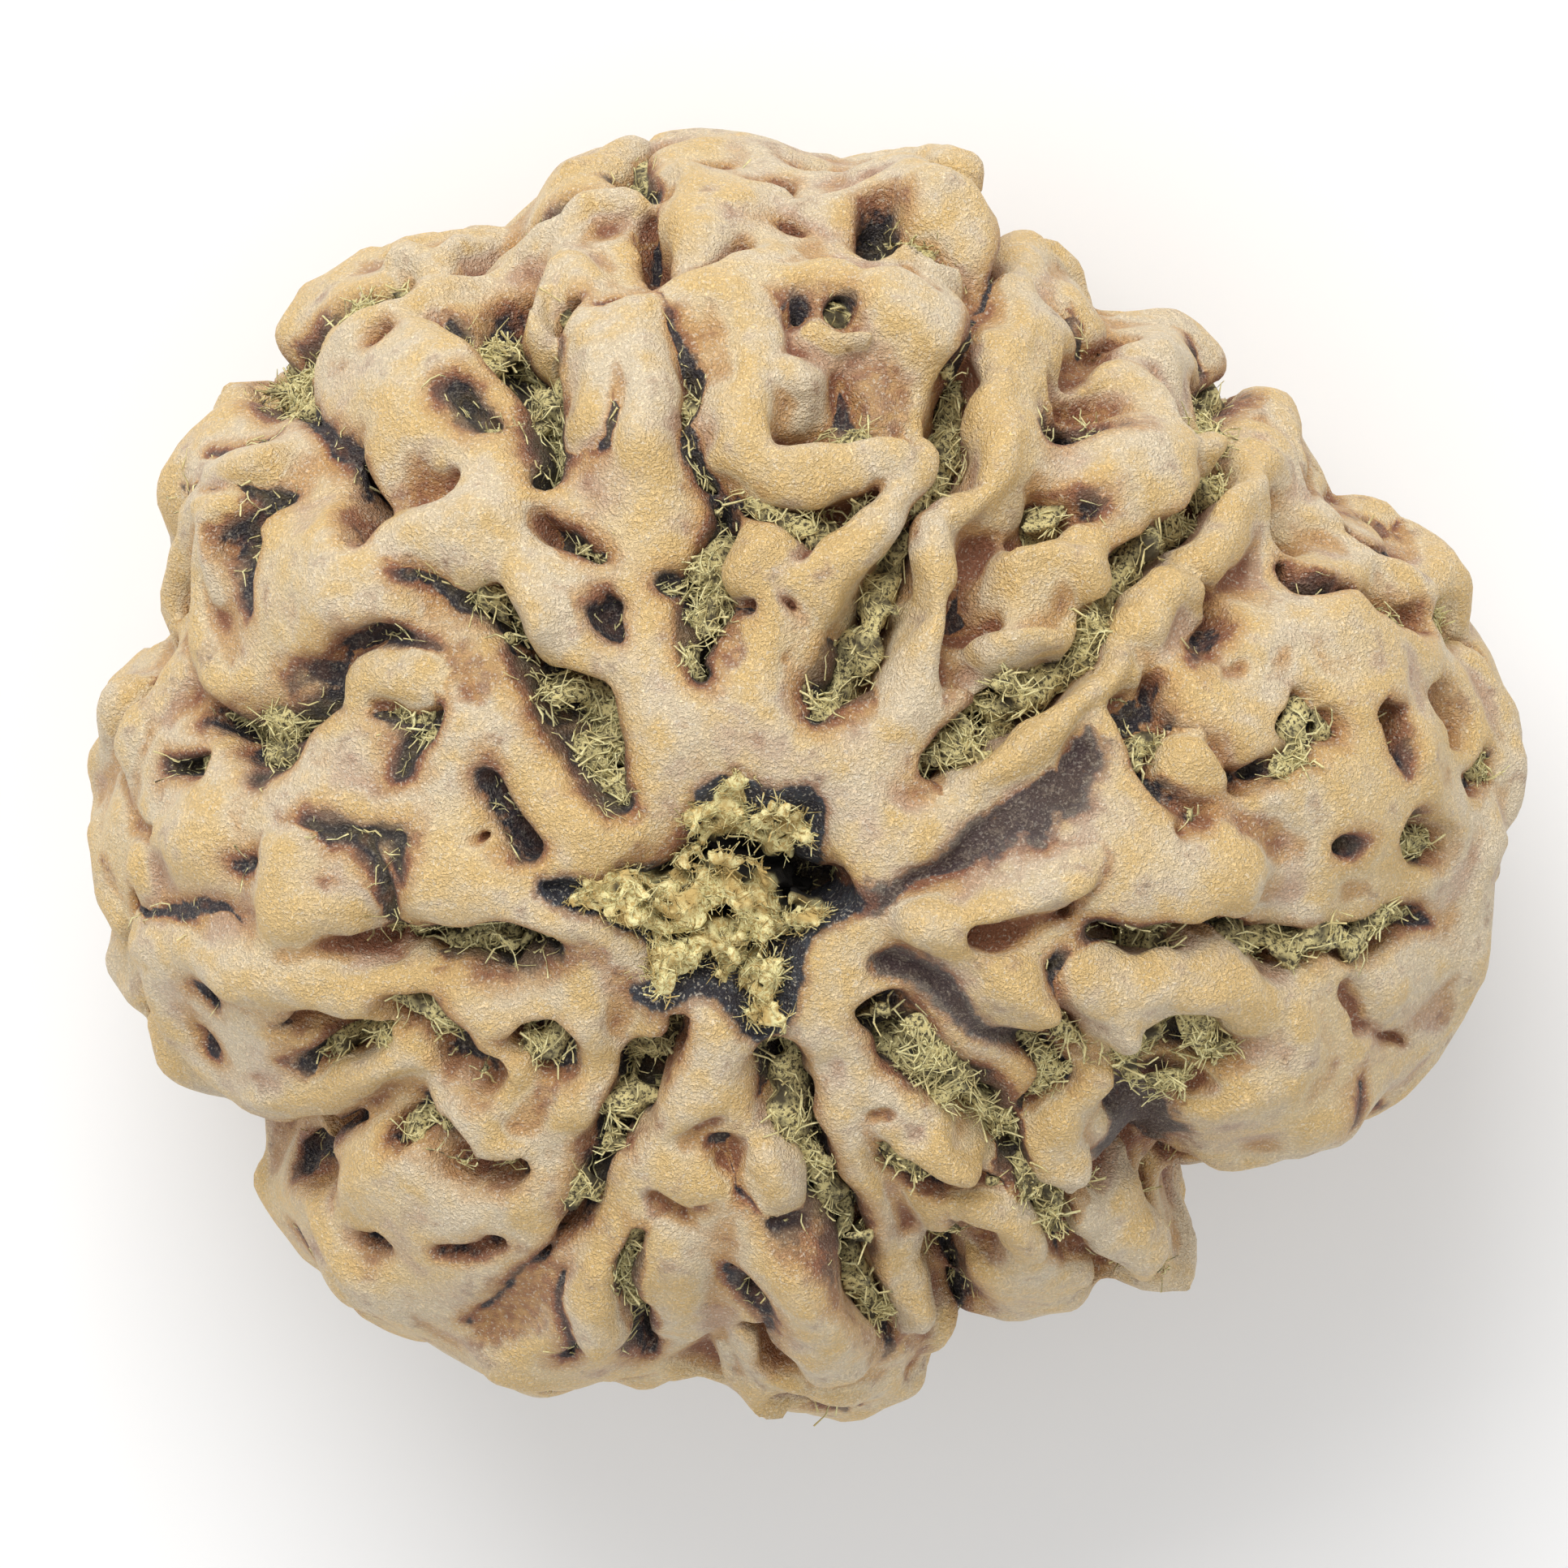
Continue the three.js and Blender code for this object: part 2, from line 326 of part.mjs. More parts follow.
// Lobe at the upper left, between the clefts at 140 and 102 degrees
const UPPER_LEFT_LOBE = [
  cut(0.45, 1.5, [-4.5, 9.3, 0.25], [-4.85, 8.5, 0.38], [-4.6, 7.9], [-4.25, 7.3], [-4.3, 6.6],
    [-4.25, 5.95, 0.38]),
  cut(0.2, 0.9, [-4.1, 6.45], [-3.1, 6.5], [-2.75, 7]),
  cut(0.22, 0.9, [-3.5, 9.1], [-3.65, 8.6], [-3.9, 8]),
  cut(0.2, 0.8, [-2.7, 9.1]),
  cut(0.3, 1, [-5.85, 7.25], [-5.5, 6.8]),
  cut(0.35, 0.8, [-6.9, 5.8], [-6.2, 5.8]),
  cut(0.36, 0.9, [-4.3, 4.95], [-3.9, 4.7], [-3.15, 4.2, 0.2]),
  cut(0.58, 1.9, [-5.4, 3.6]),
  cut(0.3, 1.2, [-6.5, 3.85, 0.18], [-5.9, 3.6]),
  cut(0.4, 0.9, [-2.95, 2.9], [-2.75, 3.3, 0.25]),
  cut(0.26, 1.2, [-7.2, 9.2], [-6.8, 9.1]),
  cut(0.27, 1, [-7.2, 8.3]),
  cut(0.25, 1, [-1.8, 4], [-1.3, 4]),
  raise(0.4, 0.25, [-2.3, 8.8], [-2.1, 7.8], [-2.05, 7], [-2.3, 6.2]),
  raise(0.4, 0.25, [-3, 8.6], [-3.2, 7.6], [-3.4, 7]),
  raise(0.3, 0.25, [-4, 10.2], [-4, 9.2], [-4, 8.3]),
  raise(0.35, 0.25, [-4.2, 10.3], [-3.5, 10.8], [-2.8, 11]),
  raise(0.35, 0.25, [-3.5, 11.4], [-2.6, 11.8]),
  raise(0.45, 0.3, [-8.3, 9.1], [-7.4, 9.8], [-6.3, 9.7], [-5.2, 9.9]),
  raise(0.6, 0.35, [-6.4, 4.75], [-5, 4.8]),
  raise(0.4, 0.2, [-4.6, 4.2], [-4.45, 3.4], [-4.2, 2.8]),
];

// The underside: the clefts run on to the far pole, with ridges and pits between them
const UNDER_CLEFT_ANGLES = [14, 41, 67, 102, 140, 190, 241, 281, 304, 347];
const UNDER_CLEFT_LATITUDES = [8, -12, -32, -50, -64];
const UNDER_CLEFT_WANDER = 3;
const UNDER_CLEFT_HALF_WIDTH = 0.34;
const UNDER_CLEFT_DEPTH = 1.9;
const UNDER_ROW_LATITUDES = [15, 3, -9, -20, -31, -42, -52];
const UNDER_ROW_SHIFT = 4;
const UNDER_CELL_DEGREES = 13;
const UNDER_STROKE_SLOPE = 6;
const UNDER_STROKE_BEND = 1.5;
const UNDER_STROKE_REACH = [3, 6];
const UNDER_RIDGE_RISE = 6;
const UNDER_RIDGE_HALF_WIDTH = [0.42, 0.62];
const UNDER_RIDGE_HEIGHT = 0.3;
const UNDER_GROOVE_HALF_WIDTH = [0.2, 0.34];
const UNDER_GROOVE_DEPTH = [0.7, 1.2];
const UNDER_PIT_DROP = 5;
const UNDER_PIT_HALF_WIDTH = [0.24, 0.38];
const UNDER_PIT_DEPTH = 1;
const UNDER_PIT_CHANCE = 0.45;
const UNDER_SEED = 7;

const minus = (a, b) => [a[0] - b[0], a[1] - b[1], a[2] - b[2]];
const dot = (a, b) => a[0] * b[0] + a[1] * b[1] + a[2] * b[2];
const cross = (a, b) => [a[1] * b[2] - a[2] * b[1], a[2] * b[0] - a[0] * b[2], a[0] * b[1] - a[1] * b[0]];

// A repeatable random number from 0 to 1 at each call
const RANDOM_FACTOR = 16807;
const RANDOM_MODULUS = 2 ** 31 - 1;
const makeRandom = (seed) => {
  let state = seed;
  return () => {
    state = (state * RANDOM_FACTOR) % RANDOM_MODULUS;
    return state / RANDOM_MODULUS;
  };
};

const smoothMin = (a, b, blend) => {
  const near = Math.max(blend - Math.abs(a - b), 0) / blend;
  return Math.min(a, b) - near * near * blend * 0.25;
};

// Body reach at an angle, eased between the listed reaches
const REACH_STEPS = 720;
const reachTable = Array.from({ length: REACH_STEPS }, (_, step) => {
  const degrees = (step * 360) / REACH_STEPS;
  const found = REACHES.findIndex(([angle]) => angle > degrees);
  const nextIndex = found < 0 ? REACHES.length : found;
  const [startAngle, startReach] = REACHES[nextIndex - 1];
  const wraps = nextIndex === REACHES.length;
  const [endAngle, endReach] = wraps ? [360, REACHES[0][1]] : REACHES[nextIndex];
  const share = (degrees - startAngle) / (endAngle - startAngle);
  const eased = share * share * (3 - 2 * share);
  return startReach + (endReach - startReach) * eased;
});

const bodyReach = (x, y) => {
  const turn = Math.atan2(y, x) / (2 * Math.PI);
  const place = (turn - Math.floor(turn)) * REACH_STEPS;
  const step = Math.floor(place) % REACH_STEPS;
  const next = (step + 1) % REACH_STEPS;
  return reachTable[step] + (reachTable[next] - reachTable[step]) * (place - Math.floor(place));
};

// How far a point lies outside the flattened round body, measured toward its centre
const bodyDistance = (x, y, z) => {
  const halfHeight = z > 0 ? TOP_HALF_HEIGHT : BOTTOM_HALF_HEIGHT;
  const across = (Math.hypot(x, y) / bodyReach(x, y)) ** ROUNDNESS;
  const along = (Math.abs(z) / halfHeight) ** ROUNDNESS;
  const level = (across + along) ** (1 / ROUNDNESS);
  return Math.hypot(x, y, z) * (1 - 1 / level);
};

const onBody = (direction) => {
  const [x, y, z] = direction;
  const length = Math.hypot(x, y, z);
  const surface = length - bodyDistance(x, y, z);
  return direction.map((value) => (value / length) * surface);
};

// The point of the body that the eye sees behind a point of the drawing plane: the sight line is
// walked until it enters the body, or the body's nearest point is taken where it passes by
const SIGHT_START = 0.93;
const SIGHT_END = 1.03;
const SIGHT_STEP = 0.002;
const HALVINGS = 12;
const seenPoint = (u, v) => {
  const eye = [0, Math.sin(EYE_LEAN) * EYE_DISTANCE, Math.cos(EYE_LEAN) * EYE_DISTANCE];
  const target = [u, v * Math.cos(EYE_LEAN), -v * Math.sin(EYE_LEAN)];
  const way = minus(target, eye);
  const at = (share) => eye.map((value, axis) => value + way[axis] * share);
  let outside = SIGHT_START;
  let closest = { share: SIGHT_START, distance: Infinity };
  for (let share = SIGHT_START; share < SIGHT_END && closest.distance > 0; share += SIGHT_STEP) {
    const distance = bodyDistance(...at(share));
    outside = distance > 0 ? share : outside;
    closest = distance < closest.distance ? { share, distance } : closest;
  }
  if (closest.distance > 0) {
    return onBody(at(closest.share));
  }
  let inside = closest.share;
  for (let halving = 0; halving < HALVINGS; halving += 1) {
    const middle = (outside + inside) / 2;
    if (bodyDistance(...at(middle)) > 0) {
      outside = middle;
    } else {
      inside = middle;
    }
  }
  return at(inside);
};

// The point of the body at a longitude and latitude, in degrees
const globePoint = (longitude, latitude) => {
  const lon = degToRad(longitude);
  const lat = degToRad(latitude);
  return onBody([Math.cos(lon) * Math.cos(lat), Math.sin(lon) * Math.cos(lat), Math.sin(lat)]);
};

// A stroke set on the body, with a ball around it outside which it has no effect
const setStroke = ({ raised, halfWidth, relief, points }, place) => {
  const stations = points.map(([first, second, width = halfWidth]) => {
    const [x, y, z] = place(first, second);
    return { x, y, z, width: raised ? width : Math.max(width, NARROWEST_CUT) };
  });
  const starts = stations.length > 1 ? stations.slice(0, -1) : stations;
  const segments = starts.map((start, i) => {
    const end = stations[i + 1] ?? start;
    const span = [end.x - start.x, end.y - start.y, end.z - start.z];
    return { start, span, widen: end.width - start.width, squared: dot(span, span) };
  });
  const mean = (axis) => stations.reduce((sum, station) => sum + station[axis], 0) / stations.length;
  const centre = ['x', 'y', 'z'].map(mean);
  const spread = Math.max(...stations.map(({ x, y, z }) => Math.hypot(...minus([x, y, z], centre))));
  const widest = Math.max(...stations.map((station) => station.width));
  return { raised, relief, segments, centre, range: spread + widest * CUT_MOUTH_SHARE + FLANK_REACH };
};

// How far a point of the body lies from a stroke's path along the body, in the stroke's half-widths
// and in millimetres, where the stroke is nearest
const nearestOnStroke = (segments, point, up) => {
  let nearest = { share: Infinity, away: Infinity, halfWidth: 0 };
  for (const { start, span, widen, squared } of segments) {
    const [px, py, pz] = [point[0] - start.x, point[1] - start.y, point[2] - start.z];
    const along = squared > 0 ? (px * span[0] + py * span[1] + pz * span[2]) / squared : 0;
    const part = Math.min(Math.max(along, 0), 1);
    const [qx, qy, qz] = [px - span[0] * part, py - span[1] * part, pz - span[2] * part];
    const height = qx * up[0] + qy * up[1] + qz * up[2];
    const away = Math.sqrt(Math.max(qx * qx + qy * qy + qz * qz - height * height, 0));
    const halfWidth = start.width + widen * part;
    if (away / halfWidth < nearest.share) {
      nearest = { share: away / halfWidth, away, halfWidth };
    }
  }
  return nearest;
};

// Height of the skin over the body once a cut has been taken out of it
const cutHeight = (height, { segments, relief }, point, up) => {
  const { away, halfWidth } = nearestOnStroke(segments, point, up);
  const depth = Math.min(relief, halfWidth * DEEPEST_CUT_SHARE);
  const floorEdge = halfWidth * CUT_FLOOR_SHARE;
  const mouthEdge = halfWidth * CUT_MOUTH_SHARE;
  const steep = depth > halfWidth * SHALLOW_SHARE;
  const foot = steep ? Math.max(floorEdge, halfWidth - WALL_INSIDE) : floorEdge;
  const brink = steep ? Math.min(mouthEdge, halfWidth + WALL_OUTSIDE) : mouthEdge;
  const wall = smoothstep(away, foot, brink);
  return Math.max(height - depth * (1 - wall), Math.min(height, -depth));
};

// Height of the skin over the body once a raise has been laid on it
const raiseHeight = (height, { segments, relief }, point, up) => {
  const { share, away, halfWidth } = nearestOnStroke(segments, point, up);
  const crown = Math.max(Math.abs(relief), FLATTEST_CROWN);
  const flank = Math.max(away - halfWidth, 0) * FLANK_SLOPE;
  const top = relief - crown * Math.min(share, 1) ** 2 - flank;
  return -smoothMin(-height, -top, RAISE_BLEND);
};

// Underside strokes, grown lobe by lobe from a seeded random number
const growUnderside = () => {
  const random = makeRandom(UNDER_SEED);
  const jitter = (size) => (random() * 2 - 1) * size;
  const between = ([least, most]) => least + random() * (most - least);
  const clefts = UNDER_CLEFT_ANGLES.map((angle) => {
    const points = UNDER_CLEFT_LATITUDES.map((lat, i) => [angle + jitter(i ? UNDER_CLEFT_WANDER : 0), lat]);
    return cut(UNDER_CLEFT_HALF_WIDTH, UNDER_CLEFT_DEPTH, ...points);
  });
  const growCell = (lon, lat, shrink) => {
    const slope = jitter(UNDER_STROKE_SLOPE);
    const reach = between(UNDER_STROKE_REACH) / shrink;
    const middle = [lon, lat + jitter(UNDER_STROKE_BEND)];
    const line = [[lon - reach, lat - slope], middle, [lon + reach, lat + slope]];
    const crest = line.map(([lineLon, lineLat]) => [lineLon, lineLat + UNDER_RIDGE_RISE]);
    const ridge = raise(between(UNDER_RIDGE_HALF_WIDTH), UNDER_RIDGE_HEIGHT, ...crest);
    const pitted = random() < UNDER_PIT_CHANCE;
    const hollow = pitted
      ? cut(between(UNDER_PIT_HALF_WIDTH), UNDER_PIT_DEPTH, [lon, lat - UNDER_PIT_DROP])
      : cut(between(UNDER_GROOVE_HALF_WIDTH), between(UNDER_GROOVE_DEPTH), ...line);
    return [ridge, hollow];
  };
  const relief = UNDER_CLEFT_ANGLES.flatMap((angle, i) => {
    const next = UNDER_CLEFT_ANGLES[(i + 1) % UNDER_CLEFT_ANGLES.length];
    const width = (next - angle + 360) % 360;
    return UNDER_ROW_LATITUDES.flatMap((latitude) => {
      const shrink = Math.cos(degToRad(latitude));
      const cells = Math.max(1, Math.round((width * shrink) / UNDER_CELL_DEGREES));
      return Array.from({ length: cells }, (_, cell) => {
        const lon = angle + (width * (cell + 0.5)) / cells + jitter(UNDER_ROW_SHIFT) / shrink;
        return growCell(lon, latitude + jitter(UNDER_ROW_SHIFT), shrink);
      }).flat();
    });
  });
  return [...relief, ...clefts];
};

const STAR_SIDE = [
  SHOULDERS, SWELLINGS, CLEFTS, UPPER_LOBE, UPPER_RIGHT_LOBE, RIGHT_UPPER_LOBE, RIGHT_LOWER_LOBE,
  LOWER_RIGHT_LOBE, BOTTOM_RIGHT_LOBE, BOTTOM_LOBE, LOWER_LEFT_LOBE, LEFT_LOBE, UPPER_LEFT_LOBE, STAR,
].flat();

const strokes = [
  ...growUnderside().map((stroke) => setStroke(stroke, globePoint)),
  ...STAR_SIDE.map((stroke) => setStroke(stroke, seenPoint)),
];

// The point of the finished skin along a unit direction from the seed's centre
const skinPoint = (up) => {
  const point = onBody(up);
  const height = strokes.reduce((reached, stroke) => {
    const [x, y, z] = stroke.centre;
    const apart = Math.hypot(point[0] - x, point[1] - y, point[2] - z);
    if (apart > stroke.range) {
      return reached;
    }
    return stroke.raised
      ? raiseHeight(reached, stroke, point, up)
      : cutHeight(reached, stroke, point, up);
  }, 0);
  return point.map((value, axis) => value + up[axis] * height);
};

// A binary heap that gives back the entry of least cost
class CostHeap {
  constructor() {
    this.entries = [];
  }

  push(entry) {
    const { entries } = this;
    let place = entries.push(entry) - 1;
    while (place > 0) {
      const parent = (place - 1) >> 1;
      if (entries[parent].cost <= entry.cost) {
        break;
      }
      entries[place] = entries[parent];
      place = parent;
    }
    entries[place] = entry;
  }

  pop() {
    const { entries } = this;
    const least = entries[0];
    const last = entries.pop();
    if (entries.length) {
      let place = 0;
      for (;;) {
        let child = place * 2 + 1;
        if (child + 1 < entries.length && entries[child + 1].cost < entries[child].cost) {
          child += 1;
        }
        if (child >= entries.length || entries[child].cost >= last.cost) {
          break;
        }
        entries[place] = entries[child];
        place = child;
      }
      entries[place] = last;
    }
    return least;
  }
}

// A closed skin over the seed, laid dense and even and then thinned where the relief is plain:
// each joining of two vertices is the one that strays least from the planes around them
class Skin {
  constructor() {
    const ball = new THREE.IcosahedronGeometry(1, BASE_DETAIL);
    ball.deleteAttribute('normal');
    ball.deleteAttribute('uv');
    const merged = mergeVertices(ball, 1e-5);
    const { array } = merged.attributes.position;
    this.points = Array.from({ length: array.length / 3 }, (_, i) => {
      const [x, y, z] = [array[i * 3], array[i * 3 + 1], array[i * 3 + 2]];
      const length = Math.hypot(x, y, z + DENSITY_LEAN);
      return skinPoint([x / length, y / length, (z + DENSITY_LEAN) / length]);
    });
    this.faces = this.points.map(() => new Set());
    this.versions = this.points.map(() => 0);
    this.planes = this.points.map(() => new Float64Array(10));
    this.triangles = new Set();
    const { array: index } = merged.index;
    for (let i = 0; i < index.length; i += 3) {
      const triangle = [index[i], index[i + 1], index[i + 2]];
      this.triangles.add(triangle);
      triangle.forEach((corner) => this.faces[corner].add(triangle));
      this.addPlane(triangle);
    }
  }

  normalOf(a, b, c) {
    return cross(minus(b, a), minus(c, a));
  }

  addPlane(triangle) {
    const [a, b, c] = triangle.map((corner) => this.points[corner]);
    const normal = this.normalOf(a, b, c);
    const size = Math.hypot(...normal);
    const [x, y, z] = normal.map((value) => value / size);
    const w = -(x * a[0] + y * a[1] + z * a[2]);
    const weight = size * (a[2] < UNDERSIDE_LEVEL ? UNDERSIDE_WEIGHT : 1);
    const terms = [x * x, x * y, x * z, x * w, y * y, y * z, y * w, z * z, z * w, w * w];
    triangle.forEach((corner) => terms.forEach((term, i) => {
      this.planes[corner][i] += term * weight;
    }));
  }

  // Squared stray of a point from the planes gathered in a list of ten terms
  stray(q, [x, y, z]) {
    return q[0] * x * x + 2 * q[1] * x * y + 2 * q[2] * x * z + 2 * q[3] * x + q[4] * y * y
      + 2 * q[5] * y * z + 2 * q[6] * y + q[7] * z * z + 2 * q[8] * z + q[9];
  }

  // The point that strays least from the planes, or the edge's middle where they don't fix one
  bestPoint(q, a, b) {
    const rows = [[q[0], q[1], q[2]], [q[1], q[4], q[5]], [q[2], q[5], q[7]]];
    const right = [-q[3], -q[6], -q[8]];
    const spread = q[0] + q[4] + q[7];
    const det = dot(rows[0], cross(rows[1], rows[2]));
    const middle = [0, 1, 2].map((axis) => (a[axis] + b[axis]) / 2);
    if (Math.abs(det) < spread ** 3 * LEAST_FIX) {
      return middle;
    }
    const solved = [0, 1, 2].map((axis) => {
      const swapped = rows.map((row, i) => row.map((value, j) => (j === axis ? right[i] : value)));
      return dot(swapped[0], cross(swapped[1], swapped[2])) / det;
    });
    const apart = Math.hypot(...minus(solved, middle));
    return apart < Math.hypot(...minus(a, b)) ? solved : middle;
  }

  offer(heap, a, b) {
    const merged = this.planes[a].map((value, i) => value + this.planes[b][i]);
    const [p, q] = [this.points[a], this.points[b]];
    const target = this.bestPoint(merged, p, q);
    const evenness = EVENNESS * dot(minus(p, q), minus(p, q));
    const cost = this.stray(merged, target) + evenness;
    heap.push({ cost, a, b, target, stamp: this.versions[a] + this.versions[b] });
  }

  neighbours(vertex) {
    const found = new Set();
    this.faces[vertex].forEach((triangle) => triangle.forEach((corner) => found.add(corner)));
    found.delete(vertex);
    return found;
  }

  // Whether the triangles around a vertex still face out from the seed's centre once it has moved
  staysOpen(vertex, other, target) {
    for (const triangle of this.faces[vertex]) {
      if (!triangle.includes(other)) {
        const before = triangle.map((corner) => this.points[corner]);
        const after = triangle.map((corner) => (corner === vertex ? target : this.points[corner]));
        const [was, is] = [this.normalOf(...before), this.normalOf(...after)];
        const size = Math.hypot(...is);
        const folds = dot(was, is) < size * Math.hypot(...was) * FOLD_LIMIT;
        if (folds || dot(is, target) < size * OUTWARD_FACING) {
          return false;
        }
      }
    }
    return true;
  }

  join({ a, b, target }) {
    const shared = [...this.neighbours(a)].filter((vertex) => this.neighbours(b).has(vertex));
    if (shared.length !== 2 || !this.staysOpen(a, b, target) || !this.staysOpen(b, a, target)) {
      return false;
    }
    this.points[a] = target;
    this.planes[b].forEach((value, i) => {
      this.planes[a][i] += value;
    });
    for (const triangle of [...this.faces[b]]) {
      if (triangle.includes(a)) {
        triangle.forEach((corner) => this.faces[corner].delete(triangle));
        this.triangles.delete(triangle);
      } else {
        triangle[triangle.indexOf(b)] = a;
        this.faces[a].add(triangle);
      }
    }
    this.versions[a] += 1;
    this.versions[b] = -Infinity;
    return true;
  }

  thin(limit) {
    const heap = new CostHeap();
    this.triangles.forEach((triangle) => triangle.forEach((corner, side) => {
      const next = triangle[(side + 1) % 3];
      if (corner < next) {
        this.offer(heap, corner, next);
      }
    }));
    while (this.triangles.size > limit && heap.entries.length) {
      const entry = heap.pop();
      const current = this.versions[entry.a] + this.versions[entry.b];
      if (current === entry.stamp && this.join(entry)) {
        this.neighbours(entry.a).forEach((vertex) => this.offer(heap, entry.a, vertex));
      }
    }
  }

  geometry() {
    const skin = new THREE.BufferGeometry();
    skin.setAttribute('position', new THREE.Float32BufferAttribute(this.points.flat(), 3));
    skin.setIndex([...this.triangles].flat());
    return skin;
  }
}

const wasm = await Module();
wasm.setup();

const toSolid = (geometry) => {
  const bare = geometry.clone();
  bare.deleteAttribute('normal');
  bare.deleteAttribute('uv');
  const merged = mergeVertices(bare, 1e-4);
  return new wasm.Manifold(new wasm.Mesh({
    numProp: 3,
    vertProperties: new Float32Array(merged.attributes.position.array),
    triVerts: new Uint32Array(merged.index.array),
  }));
};

const toGeometry = (solid) => {
  const { vertProperties, triVerts } = solid.getMesh();
  const geometry = new THREE.BufferGeometry();
  geometry.setAttribute('position', new THREE.BufferAttribute(new Float32Array(vertProperties), 3));
  geometry.setIndex(new THREE.BufferAttribute(new Uint32Array(triVerts), 1));
  geometry.computeVertexNormals();
  return geometry;
};

// The worn flat at the far pole: everything below its level is taken off
const CUTTER_WIDTH = 30;
const CUTTER_HEIGHT = 10;
const belowFlat = new THREE.BoxGeometry(CUTTER_WIDTH, CUTTER_WIDTH, CUTTER_HEIGHT);
belowFlat.translate(0, 0, -FLAT_DEPTH - CUTTER_HEIGHT / 2);

const skin = new Skin();
skin.thin(TRIANGLE_LIMIT);
const seedGeometry = toGeometry(toSolid(skin.geometry()).subtract(toSolid(belowFlat)));

const stone = new THREE.MeshStandardMaterial({ color: 0xc79a63, roughness: 0.6, metalness: 0 });
const seed = new THREE.Mesh(seedGeometry, stone);
seed.name = 'seed';
seed.position.set(...SEED_CENTRE);

const group = new THREE.Group();
group.add(seed);

export default group;
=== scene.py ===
"""A rudraksha seed: the woody stone in fine relief, the torn pith in its star, and its fibres.

The relief is a list of strokes over a flattened round body. Each is drawn in millimetres, in a
plane through the seed's centre, as an eye that stands back from the star's side sees it.
"""
from __future__ import annotations

import logging
import math
from dataclasses import dataclass, field, replace
from enum import Enum
from typing import Any, Callable, Iterable, Sequence

import bpy
import numpy as np
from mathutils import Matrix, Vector


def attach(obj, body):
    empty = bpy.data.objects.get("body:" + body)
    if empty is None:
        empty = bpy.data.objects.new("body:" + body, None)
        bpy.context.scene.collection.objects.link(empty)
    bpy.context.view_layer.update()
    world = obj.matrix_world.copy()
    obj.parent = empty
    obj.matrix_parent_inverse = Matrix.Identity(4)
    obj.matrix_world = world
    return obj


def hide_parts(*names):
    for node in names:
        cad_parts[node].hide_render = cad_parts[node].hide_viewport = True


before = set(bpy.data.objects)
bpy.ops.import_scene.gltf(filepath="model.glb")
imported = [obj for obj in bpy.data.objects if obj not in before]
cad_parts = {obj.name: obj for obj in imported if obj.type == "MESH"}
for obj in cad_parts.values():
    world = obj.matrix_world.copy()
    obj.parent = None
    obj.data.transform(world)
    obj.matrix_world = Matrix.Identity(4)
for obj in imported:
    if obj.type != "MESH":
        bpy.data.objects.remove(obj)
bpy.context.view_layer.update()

LOG = logging.getLogger("seed")
MILLIMETRE = 0.001
SEED_CENTRE = (-0.64, -0.081, 9.7)
NEARLY_NONE = 1e-6
FAR = 9.0
CORNERS = np.array(list(np.ndindex(2, 2, 2)))
Array = np.ndarray
Piece = bpy.types.Object
Socket = bpy.types.NodeSocket
Pair = tuple[float, float]
Triple = tuple[float, float, float]
Coordinates = tuple[Array, Array, Array]
# Colours are linear red, green and blue
Colour = Triple
# A node's settings or inputs, by name or number
Values = dict[Any, Any]
# Size, spacing and seed of smooth random waves
Waves = tuple[tuple[float, float, int], ...]


class StrokeKind(Enum):
    """What a stroke does to the skin."""

    CUT = "cut"
    RAISE = "raise"


class Lining(Enum):
    """What lines a cut."""

    NONE = "none"
    BARE = "bare"
    STAIN = "stain"
    FIBRE = "fibre"
    SHELF = "shelf"
    DUSK = "dusk"


@dataclass(frozen=True)
class Stroke:
    """One hollow or ridge, as points in the drawing plane, in millimetres.

    Args:
        kind: Whether the stroke is cut in or raised.
        half_width: Half-width where a point gives none of its own.
        relief: Depth of a cut or height of a raise.
        points: (u, v) or (u, v, half-width) points.
        lining: What lines the cut.
    """

    kind: StrokeKind
    half_width: float
    relief: float
    points: tuple[tuple[float, ...], ...]
    lining: Lining = Lining.NONE


Strokes = tuple[Stroke, ...]


def tool(kind: StrokeKind, lining: Lining = Lining.NONE) -> Callable[..., Stroke]:
    """Make a tool that draws strokes.

    Args:
        kind: Whether they are cut in or raised.
        lining: What lines them.

    Returns:
        A function of a half-width, a relief and points that returns a stroke.
    """

    def draw(half_width: float, relief: float, *points: tuple[float, ...]) -> Stroke:
        """Return one stroke."""
        return Stroke(kind, half_width, relief, points, lining)

    return draw


# A clean dent, a stained cut, a cut with fibres on its floor, a reddened bowl, a bowl with a dark
# bloom that fades out round it, and a ridge, finger or knob
dent = tool(StrokeKind.CUT)
cut = tool(StrokeKind.CUT, Lining.STAIN)
lined = tool(StrokeKind.CUT, Lining.FIBRE)
bowl = tool(StrokeKind.CUT, Lining.BARE)
dusky = tool(StrokeKind.CUT, Lining.DUSK)
raised = tool(StrokeKind.RAISE)

